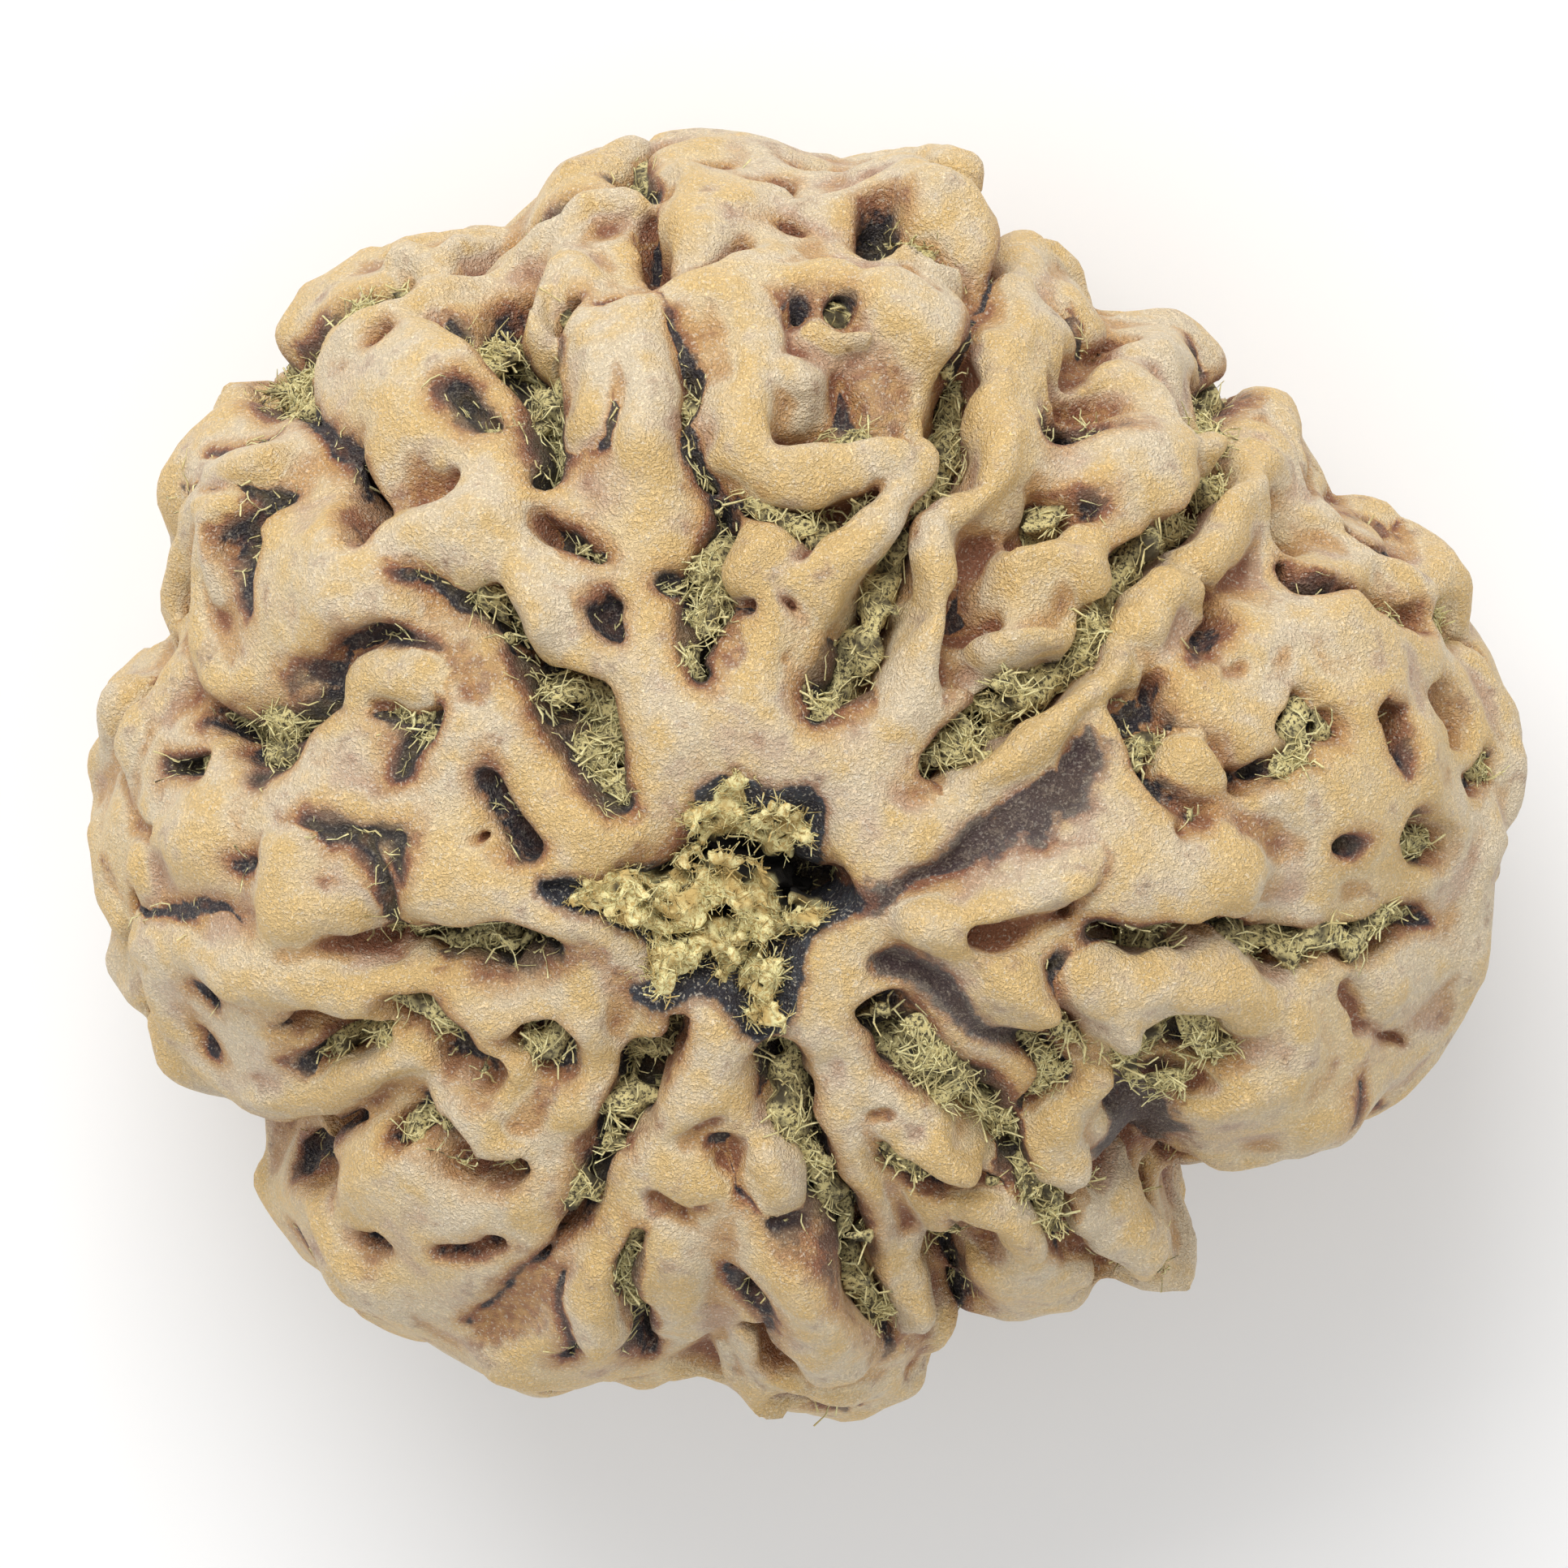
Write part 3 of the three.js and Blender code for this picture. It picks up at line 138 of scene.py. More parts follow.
# Driving sizes of the body, in millimetres, and its reach from the centre at angles anticlockwise
# from +X
HALF_HEIGHT = 9.9
FLAT_DEPTH = 9.7
ROUNDNESS = 2.25
REACHES = (
    (0, 13.8), (8, 13.8), (15, 13.3), (22, 12.4), (30, 11.1), (36, 11.6), (41, 11.5), (47, 11.5),
    (53, 10.6), (60, 11.2), (68, 11.3), (73, 12.3), (80, 11.7), (87, 11.4), (96, 11.8), (103, 12.0),
    (108, 12.0), (116, 11.1), (124, 12.1), (130, 12.3), (138, 12.2), (146, 12.5), (151, 12.4),
    (160, 11.8), (166, 11.4), (172, 12.2), (184, 12.7), (195, 12.4), (203, 12.1), (208, 11.5),
    (213, 10.6), (220, 12.0), (227, 12.2), (236, 12.1), (243, 12.2), (250, 12.1), (257, 11.1),
    (264, 10.6), (270, 11.7), (276, 11.8), (284, 11.2), (291, 9.4), (297, 11.0), (301, 11.3),
    (305, 11.2), (309, 12.2), (317, 10.4), (325, 11.6), (333, 12.9), (342, 13.2), (350, 13.6),
)
EYE_LEAN = math.radians(12)
EYE_DISTANCE = 250.0


def eased(value: Array, start: float, end: float) -> Array:
    """Ease values from 0 where they are the start to 1 where they are the end."""
    share = np.clip((value - start) / (end - start), 0, 1)
    return share * share * (3 - 2 * share)


def blended_max(first: Array, second: Array, blend: float) -> Array:
    """Return the larger of two values, rounded off where they differ by less than the blend."""
    near = np.maximum(blend - np.abs(first - second), 0)
    return np.maximum(first, second) + near * near / (4 * blend)


@dataclass(frozen=True)
class Body:
    """The flattened round body that the relief lies on, about the seed's centre.

    Args:
        half_height: Half its height.
        roundness: Power of its rounded profile.
        reaches: (degrees, reach) pairs.
        steps: Steps of the eased table of reaches.
    """

    half_height: float = HALF_HEIGHT
    roundness: float = ROUNDNESS
    reaches: tuple[Pair, ...] = REACHES
    steps: int = 720

    def reach_table(self) -> Array:
        """Lay out the reach at even steps round the body.

        Returns:
            The reaches, the first again at the end.
        """
        angles = np.array([angle for angle, _ in self.reaches] + [360.0])
        reaches = np.array([reach for _, reach in self.reaches] + [self.reaches[0][1]])
        degrees = np.arange(self.steps) * 360.0 / self.steps
        after = np.searchsorted(angles, degrees, side="right")
        share = (degrees - angles[after - 1]) / (angles[after] - angles[after - 1])
        table = reaches[after - 1] + (reaches[after] - reaches[after - 1]) * eased(share, 0, 1)
        return np.append(table, table[0])

    def reach(self, x: Array, y: Array) -> Array:
        """Return the reach at the angle of each point."""
        turn = np.mod(np.arctan2(y, x) / (2 * np.pi), 1.0) * self.steps
        return np.interp(turn, np.arange(self.steps + 1), self.reach_table())

    def distance(self, x: Array, y: Array, z: Array) -> Array:
        """Measure how far points lie outside the body, toward its centre.

        Args:
            x: Their X from the seed's centre.
            y: Their Y.
            z: Their Z.

        Returns:
            The distances, under 0 inside.
        """
        across = (np.hypot(x, y) / self.reach(x, y)) ** self.roundness
        along = (np.abs(z) / self.half_height) ** self.roundness
        level = np.maximum(across + along, NEARLY_NONE) ** (1 / self.roundness)
        return np.sqrt(x * x + y * y + z * z) * (1 - 1 / level)

    def settle(self, points: Array) -> Array:
        """Move points along their line to the centre until they lie on the body."""
        length = np.linalg.norm(points, axis=1)
        return points * ((length - self.distance(*points.T)) / length)[:, None]


@dataclass(frozen=True)
class Eye:
    """The eye that the star's side is drawn for: it leans from the seed's axis toward +Y.

    Args:
        lean: Angle from the axis, in radians.
        distance: Distance from the seed's centre.
        nearest: Share of the sight line where the walk starts.
        farthest: Share of the sight line where it ends.
        step: Step of the walk.
        halvings: Halvings of the last step.
    """

    lean: float = EYE_LEAN
    distance: float = EYE_DISTANCE
    nearest: float = 0.93
    farthest: float = 1.03
    step: float = 0.002
    halvings: int = 12

    @property
    def up(self) -> Array:
        """Direction of the drawing plane's second axis."""
        return np.array([0.0, math.cos(self.lean), -math.sin(self.lean)])

    @property
    def back(self) -> Array:
        """Direction from the seed's centre to the eye."""
        return np.array([0.0, math.sin(self.lean), math.cos(self.lean)])

    def seen(self, body: Body, drawn: Array) -> Array:
        """Return the points of the body that the eye sees behind drawn points.

        Args:
            body: Body that is looked at.
            drawn: (n, 2) points of the drawing plane.

        Returns:
            (n, 3) points; where the sight line passes by, the body's point nearest to it.
        """
        eye = self.back * self.distance
        way = np.outer(drawn[:, 0], (1.0, 0.0, 0.0)) + np.outer(drawn[:, 1], self.up) - eye
        shares = np.arange(self.nearest, self.farthest, self.step)
        lines = eye + way[:, None, :] * shares[None, :, None]
        distance = body.distance(lines[..., 0], lines[..., 1], lines[..., 2])
        enters = distance <= 0
        first = np.argmax(enters, axis=1)
        outside, inside = shares[np.maximum(first - 1, 0)], shares[first]
        for _ in range(self.halvings):
            middle = (outside + inside) / 2
            place = eye + way * middle[:, None]
            out = body.distance(place[:, 0], place[:, 1], place[:, 2]) > 0
            outside, inside = np.where(out, middle, outside), np.where(out, inside, middle)
        passing = body.settle(eye + way * shares[np.argmin(distance, axis=1)][:, None])
        return np.where(enters.any(axis=1)[:, None], eye + way * inside[:, None], passing)


@dataclass(frozen=True)
class Station:
    """One point of a set stroke.

    Args:
        place: Point on the body.
        up: Direction away from the seed's centre.
        width: The stroke's half-width there.
    """

    place: Array
    up: Array
    width: float


@dataclass(frozen=True)
class SetStroke:
    """A stroke set on the body, as a chain of stations close to each other.

    Args:
        stroke: Stroke that was set.
        stations: Its stations.
        taper: How much narrower a steep cut is at its floor, as a share of its half-width.
        shallow: Share of the half-width up to which a cut is a smooth dish.
        flank: How far past its half-width a ridge ends, as a share of it.
        margin: How far the stroke's blend reaches past it.
        headroom: How far over the body a cut still takes material away.
        soft: Most that an edge is rounded off, of a ridge and of a cut.
        crown: Least crown of a ridge.
        join: How far a ridge's top is rounded into its flanks.
    """

    stroke: Stroke
    stations: tuple[Station, ...]
    taper: float = 0.4
    shallow: float = 0.8
    flank: float = 1.2
    margin: float = 0.35
    headroom: float = 0.9
    soft: Pair = (0.35, 0.5)
    crown: float = 0.35
    join: float = 0.12

    @property
    def blend(self) -> float:
        """How far the stroke's edge is rounded off.

        Returns:
            That length, less for a narrow or shallow stroke.
        """
        narrowest = min(station.width for station in self.stations)
        if self.stroke.kind is StrokeKind.RAISE:
            return min(self.soft[0], 0.7 * narrowest)
        return min(self.soft[1], 0.08 + 0.95 * narrowest, 0.15 + 0.4 * self.stroke.relief)

    def spans(self) -> list[tuple[Station, Station]]:
        """Return the pairs of neighbouring stations, or a single station with itself."""
        return list(zip(self.stations, self.stations[1:])) or [(self.stations[0], self.stations[0])]

    def bounds(self, span: tuple[Station, Station]) -> tuple[Array, Array]:
        """Box what one span changes.

        Args:
            span: Two neighbouring stations.

        Returns:
            The corners of the box outside which it has no effect.
        """
        low = self.stroke.relief if self.stroke.kind is StrokeKind.CUT else self.headroom
        heights = (-low - self.margin, self.headroom)
        ends = np.array([station.place + station.up * rise for station in span for rise in heights])
        wide = max(station.width for station in span) * self.flank + self.margin
        return ends.min(axis=0) - wide, ends.max(axis=0) + wide

    def nearest(self, span: tuple[Station, Station], at: Coordinates) -> Coordinates:
        """Find the place of one span nearest to each point.

        Args:
            span: Two neighbouring stations.
            at: Coordinates of the points.

        Returns:
            Distance beside the path, height over the body there, and half-width there.
        """
        start, end = span
        way = end.place - start.place
        squared = float(way @ way)
        away = [at[axis] - start.place[axis] for axis in range(3)]
        along = 0 * away[0]
        if squared > 0:
            along = sum(away[axis] * way[axis] for axis in range(3)) / squared
        part = np.clip(along, 0, 1)
        away = [away[axis] - part * way[axis] for axis in range(3)]
        up = [start.up[axis] + part * (end.up[axis] - start.up[axis]) for axis in range(3)]
        height = sum(away[axis] * up[axis] for axis in range(3))
        beside = sum(away[axis] ** 2 for axis in range(3)) - height * height
        width = start.width + part * (end.width - start.width)
        return np.sqrt(np.maximum(beside, 0)), height, width

    def beside(self, span: tuple[Station, Station], at: Coordinates) -> Array:
        """Return how far points lie beside the edge of one span."""
        aside, _, width = self.nearest(span, at)
        return aside - width

    def shape(self, span: tuple[Station, Station], at: Coordinates) -> Array:
        """Measure how far points lie outside the hollow or ridge of one span.

        Args:
            span: Two neighbouring stations.
            at: Coordinates of the points.

        Returns:
            The distances, under 0 inside.
        """
        aside, height, width = self.nearest(span, at)
        relief = self.stroke.relief
        share = aside / width
        if self.stroke.kind is StrokeKind.RAISE:
            crown = max(relief, self.crown)
            top = height - relief + crown * share * share
            dome = top / np.sqrt(1 + (2 * crown * share / width) ** 2)
            return blended_max(dome, aside - self.flank * width, self.join)
        dish = -(height + relief * (1 - share * share)) / np.sqrt(1 + (2 * relief * share / width) ** 2)
        if relief < self.shallow * max(station.width for station in span):
            return dish
        floor = width * (1 - self.taper)
        wall = aside - width * (1 - self.taper * np.clip(-height / relief, 0, 1))
        below = np.hypot(aside, np.maximum(-height - (relief - floor), 0)) - floor
        return np.where(-height > relief - floor, below, wall)


@dataclass(frozen=True)
class SetOutline:
    """A hollow whose outline is drawn point by point, and which slopes down from it.

    Args:
        stroke: Its lining, its depth, and the points of its outline.
        body: Body that it is cut into.
        eye: Eye that it is drawn for.
        slope: How fast it falls away from its outline.
        lip: Depth just inside its outline.
        under: How far it has an effect under its outline's lowest corner.
        over: How far it has one over the highest corner.
        blend: How far its edge is rounded off.
    """

    stroke: Stroke
    body: Body
    eye: Eye
    slope: float = 1.3
    lip: float = 0.12
    under: Triple = (0.6, 0.6, 2.0)
    over: Triple = (0.6, 0.6, 1.5)
    blend: float = 0.22

    def spans(self) -> list[tuple[Array, Array]]:
        """Return the corners of the one box that holds the hollow."""
        drawn = self.eye.seen(self.body, np.array(self.stroke.points))
        return [(drawn.min(axis=0) - self.under, drawn.max(axis=0) + self.over)]

    @staticmethod
    def bounds(span: tuple[Array, Array]) -> tuple[Array, Array]:
        """Return the corners of the box outside which the hollow has no effect."""
        return span

    def beside(self, span: tuple[Array, Array], at: Coordinates) -> Array:
        """Measure how far points lie outside the outline, seen by the eye.

        Args:
            span: The hollow's box.
            at: Coordinates of the points.

        Returns:
            The distances, under 0 inside.
        """
        back, up = self.eye.back, self.eye.up
        nearer = self.eye.distance / (self.eye.distance - sum(back[axis] * at[axis] for axis in range(3)))
        across = at[0] * nearer
        along = sum(up[axis] * at[axis] for axis in range(3)) * nearer
        nearest = np.full(across.shape, 1e9)
        inside = np.zeros(across.shape, bool)
        corners = self.stroke.points
        for (x0, y0), (x1, y1) in zip(corners, corners[1:] + corners[:1]):
            way = (x1 - x0, y1 - y0)
            share = ((across - x0) * way[0] + (along - y0) * way[1]) / (way[0] ** 2 + way[1] ** 2)
            part = np.clip(share, 0, 1)
            away = np.hypot(across - x0 - part * way[0], along - y0 - part * way[1])
            nearest = np.minimum(nearest, away)
            if y0 != y1:
                between = (along > y0) != (along > y1)
                inside ^= between & (across < x0 + (along - y0) * way[0] / (y1 - y0))
        return np.where(inside, -nearest, nearest)

    def shape(self, span: tuple[Array, Array], at: Coordinates) -> Array:
        """Measure how far points lie outside the hollow.

        Args:
            span: Its box.
            at: Coordinates of the points.

        Returns:
            The distances, under 0 inside.
        """
        beside = self.beside(span, at)
        height = self.body.distance(*np.broadcast_arrays(*at))
        floor = np.minimum(self.lip - beside * self.slope, self.stroke.relief)
        return np.maximum(beside, -height - floor)

# The star at the stalk end: its outline, and the hole in its middle that the pith stands in
STAR_OUTLINE = Stroke(StrokeKind.CUT, 0.0, 0.95, (
    (-1.26, -1.2), (-1.2, -0.6), (-1, -0.1), (-0.54, 0.24), (0.01, -0.1), (0.09, -0.32), (0.43, -0.27),
    (0.89, -0.27), (1.1, -0.61), (1.1, -1.45), (1.4, -1.8), (1.86, -2.2), (1.1, -2.97), (0.85, -3.47),
    (0.77, -4.15), (0.43, -4.7), (0.05, -4.9), (-0.41, -4.7), (-0.92, -3.98), (-1.34, -3.81),
    (-2.01, -4.23), (-2.4, -4.15), (-2.44, -3.81), (-1.93, -3.47), (-1.85, -2.97), (-2.1, -2.72),
    (-2.52, -2.67), (-3.11, -2.38), (-3.61, -2.21), (-4.05, -2), (-4.03, -1.66), (-3.53, -1.6),
    (-2.86, -1.79), (-2.1, -1.45),
), Lining.SHELF)
STAR: Strokes = (
    lined(0.9, 3.2, (-2.3, -2.1, 0.3), (-1.2, -2.1, 0.8), (0.2, -2.3, 0.9), (1.2, -2.2, 0.4)),
    lined(0.6, 2.6, (-0.6, -1, 0.3), (-0.5, -1.8, 0.7)),
    lined(0.6, 2.6, (-0.3, -2.6, 0.8), (-0.15, -3.4, 0.4)),
)

# The pith's torn tops, under the body's own surface
PITH: Strokes = (
    raised(0.8, -0.55, (-1.4, -2.1, 0.55), (-0.9, -2.2, 0.7), (-0.3, -2.2, 0.75), (0.2, -2.3, 0.6)),
    raised(0.7, -0.2, (-4, -1.8, 0.16), (-3.3, -1.9, 0.26), (-2.6, -2.05, 0.42)),
    raised(0.7, -0.35, (-2.9, -2, 0.4), (-2, -2.05, 0.6), (-1.3, -2.1, 0.7)),
    raised(0.7, -0.25, (-0.75, 0.15, 0.26), (-0.7, -0.8, 0.5), (-0.55, -1.3, 0.6)),
    raised(0.7, -0.5, (-0.6, -1.1, 0.55), (-0.5, -1.7, 0.7)),
    raised(0.5, -0.5, (0, -1.1, 0.24), (0.35, -1.3, 0.14), (0.6, -1.4, 0.1)),
    raised(0.5, -0.45, (0.4, -2.9, 0.26), (0.9, -2.8, 0.2), (1.4, -2.55, 0.12)),
    raised(0.6, -0.5, (-1.8, -2.7, 0.35), (-1.4, -3.1, 0.45), (-0.8, -3.35, 0.4)),
    raised(0.4, -0.3, (-1.2, -3.2, 0.4), (-1.7, -3.5, 0.28), (-2.1, -3.8, 0.14)),
    raised(0.3, -0.3, (-0.6, -3.3, 0.3), (0, -3.3, 0.3)),
    raised(0.3, -0.1, (-0.12, -2.4, 0.26), (-0.12, -3.1, 0.3), (-0.05, -3.8, 0.24)),
    raised(0.2, -0.25, (-0.15, -3.6, 0.2), (0.1, -4.5, 0.12)),
)

# The cavities beside and in the pith
CAVITIES: Strokes = (
    cut(0.5, 3, (0.5, -1.7, 0.35), (0.9, -2, 0.6), (1.35, -2.2, 0.5), (1.75, -2.25, 0.25)),
    cut(0.2, 2.5, (-0.7, -1.4, 0.22), (-0.4, -1.25, 0.34), (-0.15, -1.55, 0.26)),
    cut(0.18, 2.4, (-1.7, -1.55, 0.12), (-1.4, -1.85, 0.16)),
    cut(0.12, 2.2, (-2, -2.2), (-1.75, -2.4)),
    cut(0.18, 2.4, (-1.85, -2.85, 0.1), (-1.25, -2.75, 0.14), (-0.75, -2.85, 0.2), (-0.5, -3, 0.14)),
    cut(0.14, 2.4, (0.32, -2.55), (0.3, -3.05)),
    cut(0.08, 1.8, (-3.5, -1.9)),
    cut(0.08, 1.8, (-2.5, -1.85)),
    cut(0.1, 1.8, (0.05, -1.7), (0.3, -1.75)),
)

# All strokes of the star's side, one after the other
STAR_SIDE: Strokes = (
    # The body falls away gently toward the star and toward each cleft
    dent(3.6, 0.6, (-0.3, -2.2)),
    dent(1.1, 0.35, (-1.1, 2.2), (-1.1, 5.5), (-1.5, 8), (-2.3, 11)),
    dent(1.2, 0.4, (1.3, 1.4), (2.3, 3.8), (3.7, 6.2), (4.3, 10)),
    dent(1.2, 0.4, (3.4, 0.4), (5.4, 1.9), (7.2, 4.1), (8.7, 6.8)),
    dent(1.1, 0.35, (6.5, -3), (9.2, -3.2), (12.4, -2.9)),
    dent(1.2, 0.4, (2.6, -5), (4.3, -6.8), (6, -9)),
    dent(1.1, 0.4, (0.5, -5.6), (0.9, -7.2), (1.8, -10.2)),
    dent(1.2, 0.4, (-2, -5), (-2.9, -7.1), (-4.5, -9.3)),
    dent(1.2, 0.4, (-4.2, -3.2), (-7.5, -3.2), (-11.8, -2.1)),
    dent(1.2, 0.4, (-2.8, 0), (-4.8, 2.2), (-7.6, 5.2), (-9.1, 7.5)),
    # Broad swellings of the lobes between the clefts
    raised(1.4, 0.42, (-8.2, 3.8)),
    raised(1.3, 0.49, (-6.9, 7.5)),
    raised(0.9, 0.42, (2.6, 11.2), (3.8, 10.6)),
    raised(1.1, 0.35, (3, 9)),
    raised(1, 0.42, (7.5, 6)),
    raised(0.7, 0.42, (7.6, 8.2)),
    raised(0.8, 0.35, (7.2, -1.8), (8.2, -1.9), (9, -1.8)),
    raised(1.1, 0.28, (10.8, 2.4), (12.4, 1.9)),
    raised(0.8, 0.35, (6.9, -8), (7.2, -8.8)),
    raised(0.65, 0.49, (0.6, -8.7), (0.9, -9.6), (1.1, -10.5), (1, -11.1)),
    raised(0.8, 0.35, (-10.7, -1.2)),
    raised(0.9, 0.28, (-3.2, -0.9)),
    raised(0.6, 0.35, (-6.5, -2.1), (-5.5, -2.1), (-4.5, -2.3), (-3.8, -2.5)),
    # Rusty ramps where clefts and pits run out
    bowl(0.42, 0.4, (-2.3, -0.8, 0.3), (-2.7, -0.2)),
    bowl(0.45, 0.45, (-3.2, -3.35, 0.35), (-4, -3.5)),
    bowl(0.3, 0.5, (-0.45, 2.3, 0.2), (-0.5, 2.9)),
    bowl(0.4, 0.5, (1.7, 1.4, 0.3), (2.3, 2.2)),
    bowl(0.3, 0.35, (2.9, -0.2, 0.2), (3.4, 0.1)),
    bowl(0.3, 0.4, (2.6, 3.4), (2.9, 4.2)),
    bowl(0.35, 0.4, (-7.4, 5.4), (-6.8, 6)),
    bowl(0.4, 0.35, (3.6, 6.9), (5.2, 7.1)),
    bowl(0.4, 0.35, (-6, 2.4), (-5.5, 1.6)),
    bowl(0.35, 0.4, (-6.8, -4.2), (-6.6, -5.2)),
    # The clefts, each from the star's side out to the rim, but for the last, which is half closed
    lined(0.3, 2, (-0.9, 2, 0.25), (-1.05, 2.5, 0.35), (-1, 3.2, 0.48), (-1, 4, 0.4), (-0.9, 4.8, 0.35),
          (-1.1, 5.5, 0.25), (-1.3, 6.5, 0.2), (-1.45, 7.1, 0.35), (-1.35, 7.6, 0.35), (-1.5, 8.3, 0.18)),
    cut(0.2, 1.6, (-1.5, 8.3, 0.18), (-1.65, 9, 0.12), (-1.85, 9.7, 0.25), (-1.9, 10.3, 0.25),
        (-2.4, 11.1, 0.16)),
    lined(0.3, 2, (1.1, 1.2, 0.2), (1.2, 1.6, 0.35), (1.7, 2.2, 0.55), (1.9, 2.8, 0.6), (2.2, 3.4, 0.5),
          (2.4, 4, 0.5), (2.6, 4.5, 0.4), (3.3, 5.3, 0.3), (3.7, 6.1, 0.22), (3.85, 6.8, 0.26),
          (4.1, 8, 0.25), (4.3, 9, 0.22), (4.4, 10.2, 0.2)),
    lined(0.3, 2, (3.3, 0.3, 0.4), (3.8, 0.6, 0.5), (4.8, 1.4, 0.5), (5.8, 2.1, 0.4), (6.25, 2.5, 0.35),
          (6.7, 3.4, 0.3), (7.1, 3.9, 0.35), (7.5, 4.4, 0.32), (8.3, 5.2, 0.2), (8.75, 6.1, 0.14)),
    cut(0.3, 1.8, (8.75, 6.1, 0.14), (8.7, 6.8, 0.2), (8.75, 7.4, 0.3)),
    lined(0.3, 2, (6.4, -3, 0.38), (7.3, -3.05, 0.4), (8.6, -3.15, 0.28), (9.5, -3.3, 0.4),
          (10.1, -3.45, 0.45), (10.9, -3.2, 0.22), (11.4, -3.15, 0.35), (12, -2.95, 0.4),
          (12.6, -2.85, 0.15)),
    lined(0.4, 2, (2.5, -4.9, 0.42), (3, -5.4, 0.5), (4.2, -6.6, 0.5), (4.7, -7.2, 0.48),
          (5.3, -7.9, 0.35), (5.9, -8.7, 0.4), (6.2, -9.2, 0.15)),
    lined(0.4, 2, (0.45, -5.6, 0.45), (0.7, -6.4, 0.5), (0.85, -7, 0.5), (1.15, -7.6, 0.38),
          (1.45, -8.5, 0.45), (1.8, -9.5, 0.33), (2, -10.4, 0.2), (2.05, -10.8, 0.12)),
    lined(0.4, 2, (-1.85, -4.6, 0.15), (-2, -5.3, 0.28), (-2.4, -6.3, 0.43), (-2.9, -7.1, 0.45),
          (-3.7, -8.1, 0.35), (-4.2, -8.9, 0.22)),
    cut(0.2, 1.2, (-4.2, -8.9, 0.22), (-5, -9.7, 0.14), (-5.6, -10.2, 0.12)),
    lined(0.4, 2, (-4, -3.25, 0.35), (-4.6, -3.2, 0.5), (-5.3, -3.35, 0.5), (-6.2, -3.35, 0.42),
          (-7.3, -3.25, 0.5), (-8, -3.2, 0.3)),
    cut(0.3, 1.6, (-8, -3.2, 0.3), (-9, -3.1, 0.12), (-9.8, -2.7, 0.18), (-10.4, -2.35, 0.22),
        (-12, -2.1, 0.2)),
    lined(0.4, 2, (-2.6, -0.4, 0.35), (-3.1, 0.45, 0.5), (-3.7, 1.2, 0.46), (-4.6, 2, 0.4),
          (-5.1, 2.5, 0.22), (-5.3, 3, 0.25)),
    cut(0.3, 2, (-7.3, 4.75, 0.32), (-7.7, 5.3, 0.3), (-8, 6, 0.25), (-8.5, 6.8, 0.25),
        (-9.1, 7.5, 0.28)),
    lined(0.3, 1.2, (9.7, 3.9, 0.2), (10.3, 3.6, 0.28), (11.4, 3.15, 0.33), (12, 3, 0.35),
          (12.5, 3, 0.2)),
    # Lobe above the star, between the clefts at 102 and 67 degrees
    lined(0.33, 1.2, (0.5, 6.5), (1.2, 6.7), (1.8, 6.6)),
    lined(0.3, 1.3, (-0.9, 5.8, 0.2), (-0.4, 5.5, 0.25), (0.2, 5.3, 0.3), (0.8, 5.2, 0.4),
          (1.4, 5.25, 0.33), (2.3, 5.45, 0.16)),
    lined(0.22, 1, (0.8, 4.8), (0.8, 4.35)),
    bowl(0.7, 0.5, (1.4, 8.1), (2.5, 7.4)),
    lined(0.38, 1.2, (1.95, 10.6), (2.2, 10.3)),
    lined(0.27, 1.2, (1.25, 8.85)),
    cut(0.2, 0.9, (0.6, 8.8)),
    cut(0.3, 1.2, (0.15, 8.65), (0.1, 8.15)),
    cut(0.12, 0.5, (0.1, 8.15), (1, 8.1)),
    cut(0.25, 1, (1.4, 7.7), (1.7, 7.3)),
    bowl(0.25, 0.7, (2.3, 6.9), (3, 7)),
    bowl(0.25, 0.7, (-0.75, 9.85), (-0.15, 10.05)),
    cut(0.16, 0.8, (-0.3, 11.15), (0.4, 11.1)),
    cut(0.25, 0.8, (-0.5, 3.4), (-0.1, 3.3)),
    bowl(0.3, 0.4, (-0.3, 2.4)),
    bowl(0.17, 0.4, (0.75, 3.3)),
    bowl(0.12, 0.3, (0.8, 2.65)),
    bowl(0.1, 0.25, (0.6, 2.25)),
    raised(0.58, 0.49, (0, 4.2)),
    raised(0.4, 0.35, (1.25, 3.7), (1.4, 4.3), (2, 4.8), (2.6, 5.4), (3.05, 6), (3.1, 6.5)),
    raised(0.4, 0.35, (0.3, 6), (1, 6.1), (1.8, 6.2), (2.7, 6.3)),
    raised(0.5, 0.42, (-1.1, 9.3), (-0.5, 8.9), (-0.35, 7.9), (-0.35, 6.9), (-0.25, 6.3)),
    raised(0.4, 0.28, (0.2, 7.7), (0.8, 7.6)),
    raised(0.2, 0.21, (0.6, 8.4), (1.2, 8.2), (1.8, 8.2)),
    raised(0.35, 0.35, (-1.5, 11.3), (-1.4, 10.7), (-1, 10.4)),
    raised(0.25, 0.28, (2.6, 10.1), (3.7, 9.8)),
    # Lobe at the upper right, between the clefts at 67 and 41 degrees
    bowl(0.5, 0.5, (5.8, 7.1), (6.3, 7)),
    lined(0.3, 1.2, (5.4, 6.9, 0.2), (5.5, 6.45), (6.1, 6.5), (6.6, 6.6)),
    bowl(0.3, 0.6, (5.8, 8), (6.5, 8.1)),
    lined(0.3, 1.2, (5.4, 5.4), (5.9, 5.35), (6.4, 5.25)),
    cut(0.3, 0.8, (5.3, 4.9)),
    cut(0.22, 0.9, (4.25, 4.9), (4.3, 4.2), (4.2, 3.4)),
    bowl(0.35, 0.7, (3.45, 2.9), (3.55, 2.3)),
    cut(0.22, 1, (4.2, 2.1), (4.9, 2.3)),
    bowl(0.35, 0.4, (3.6, 1.8)),
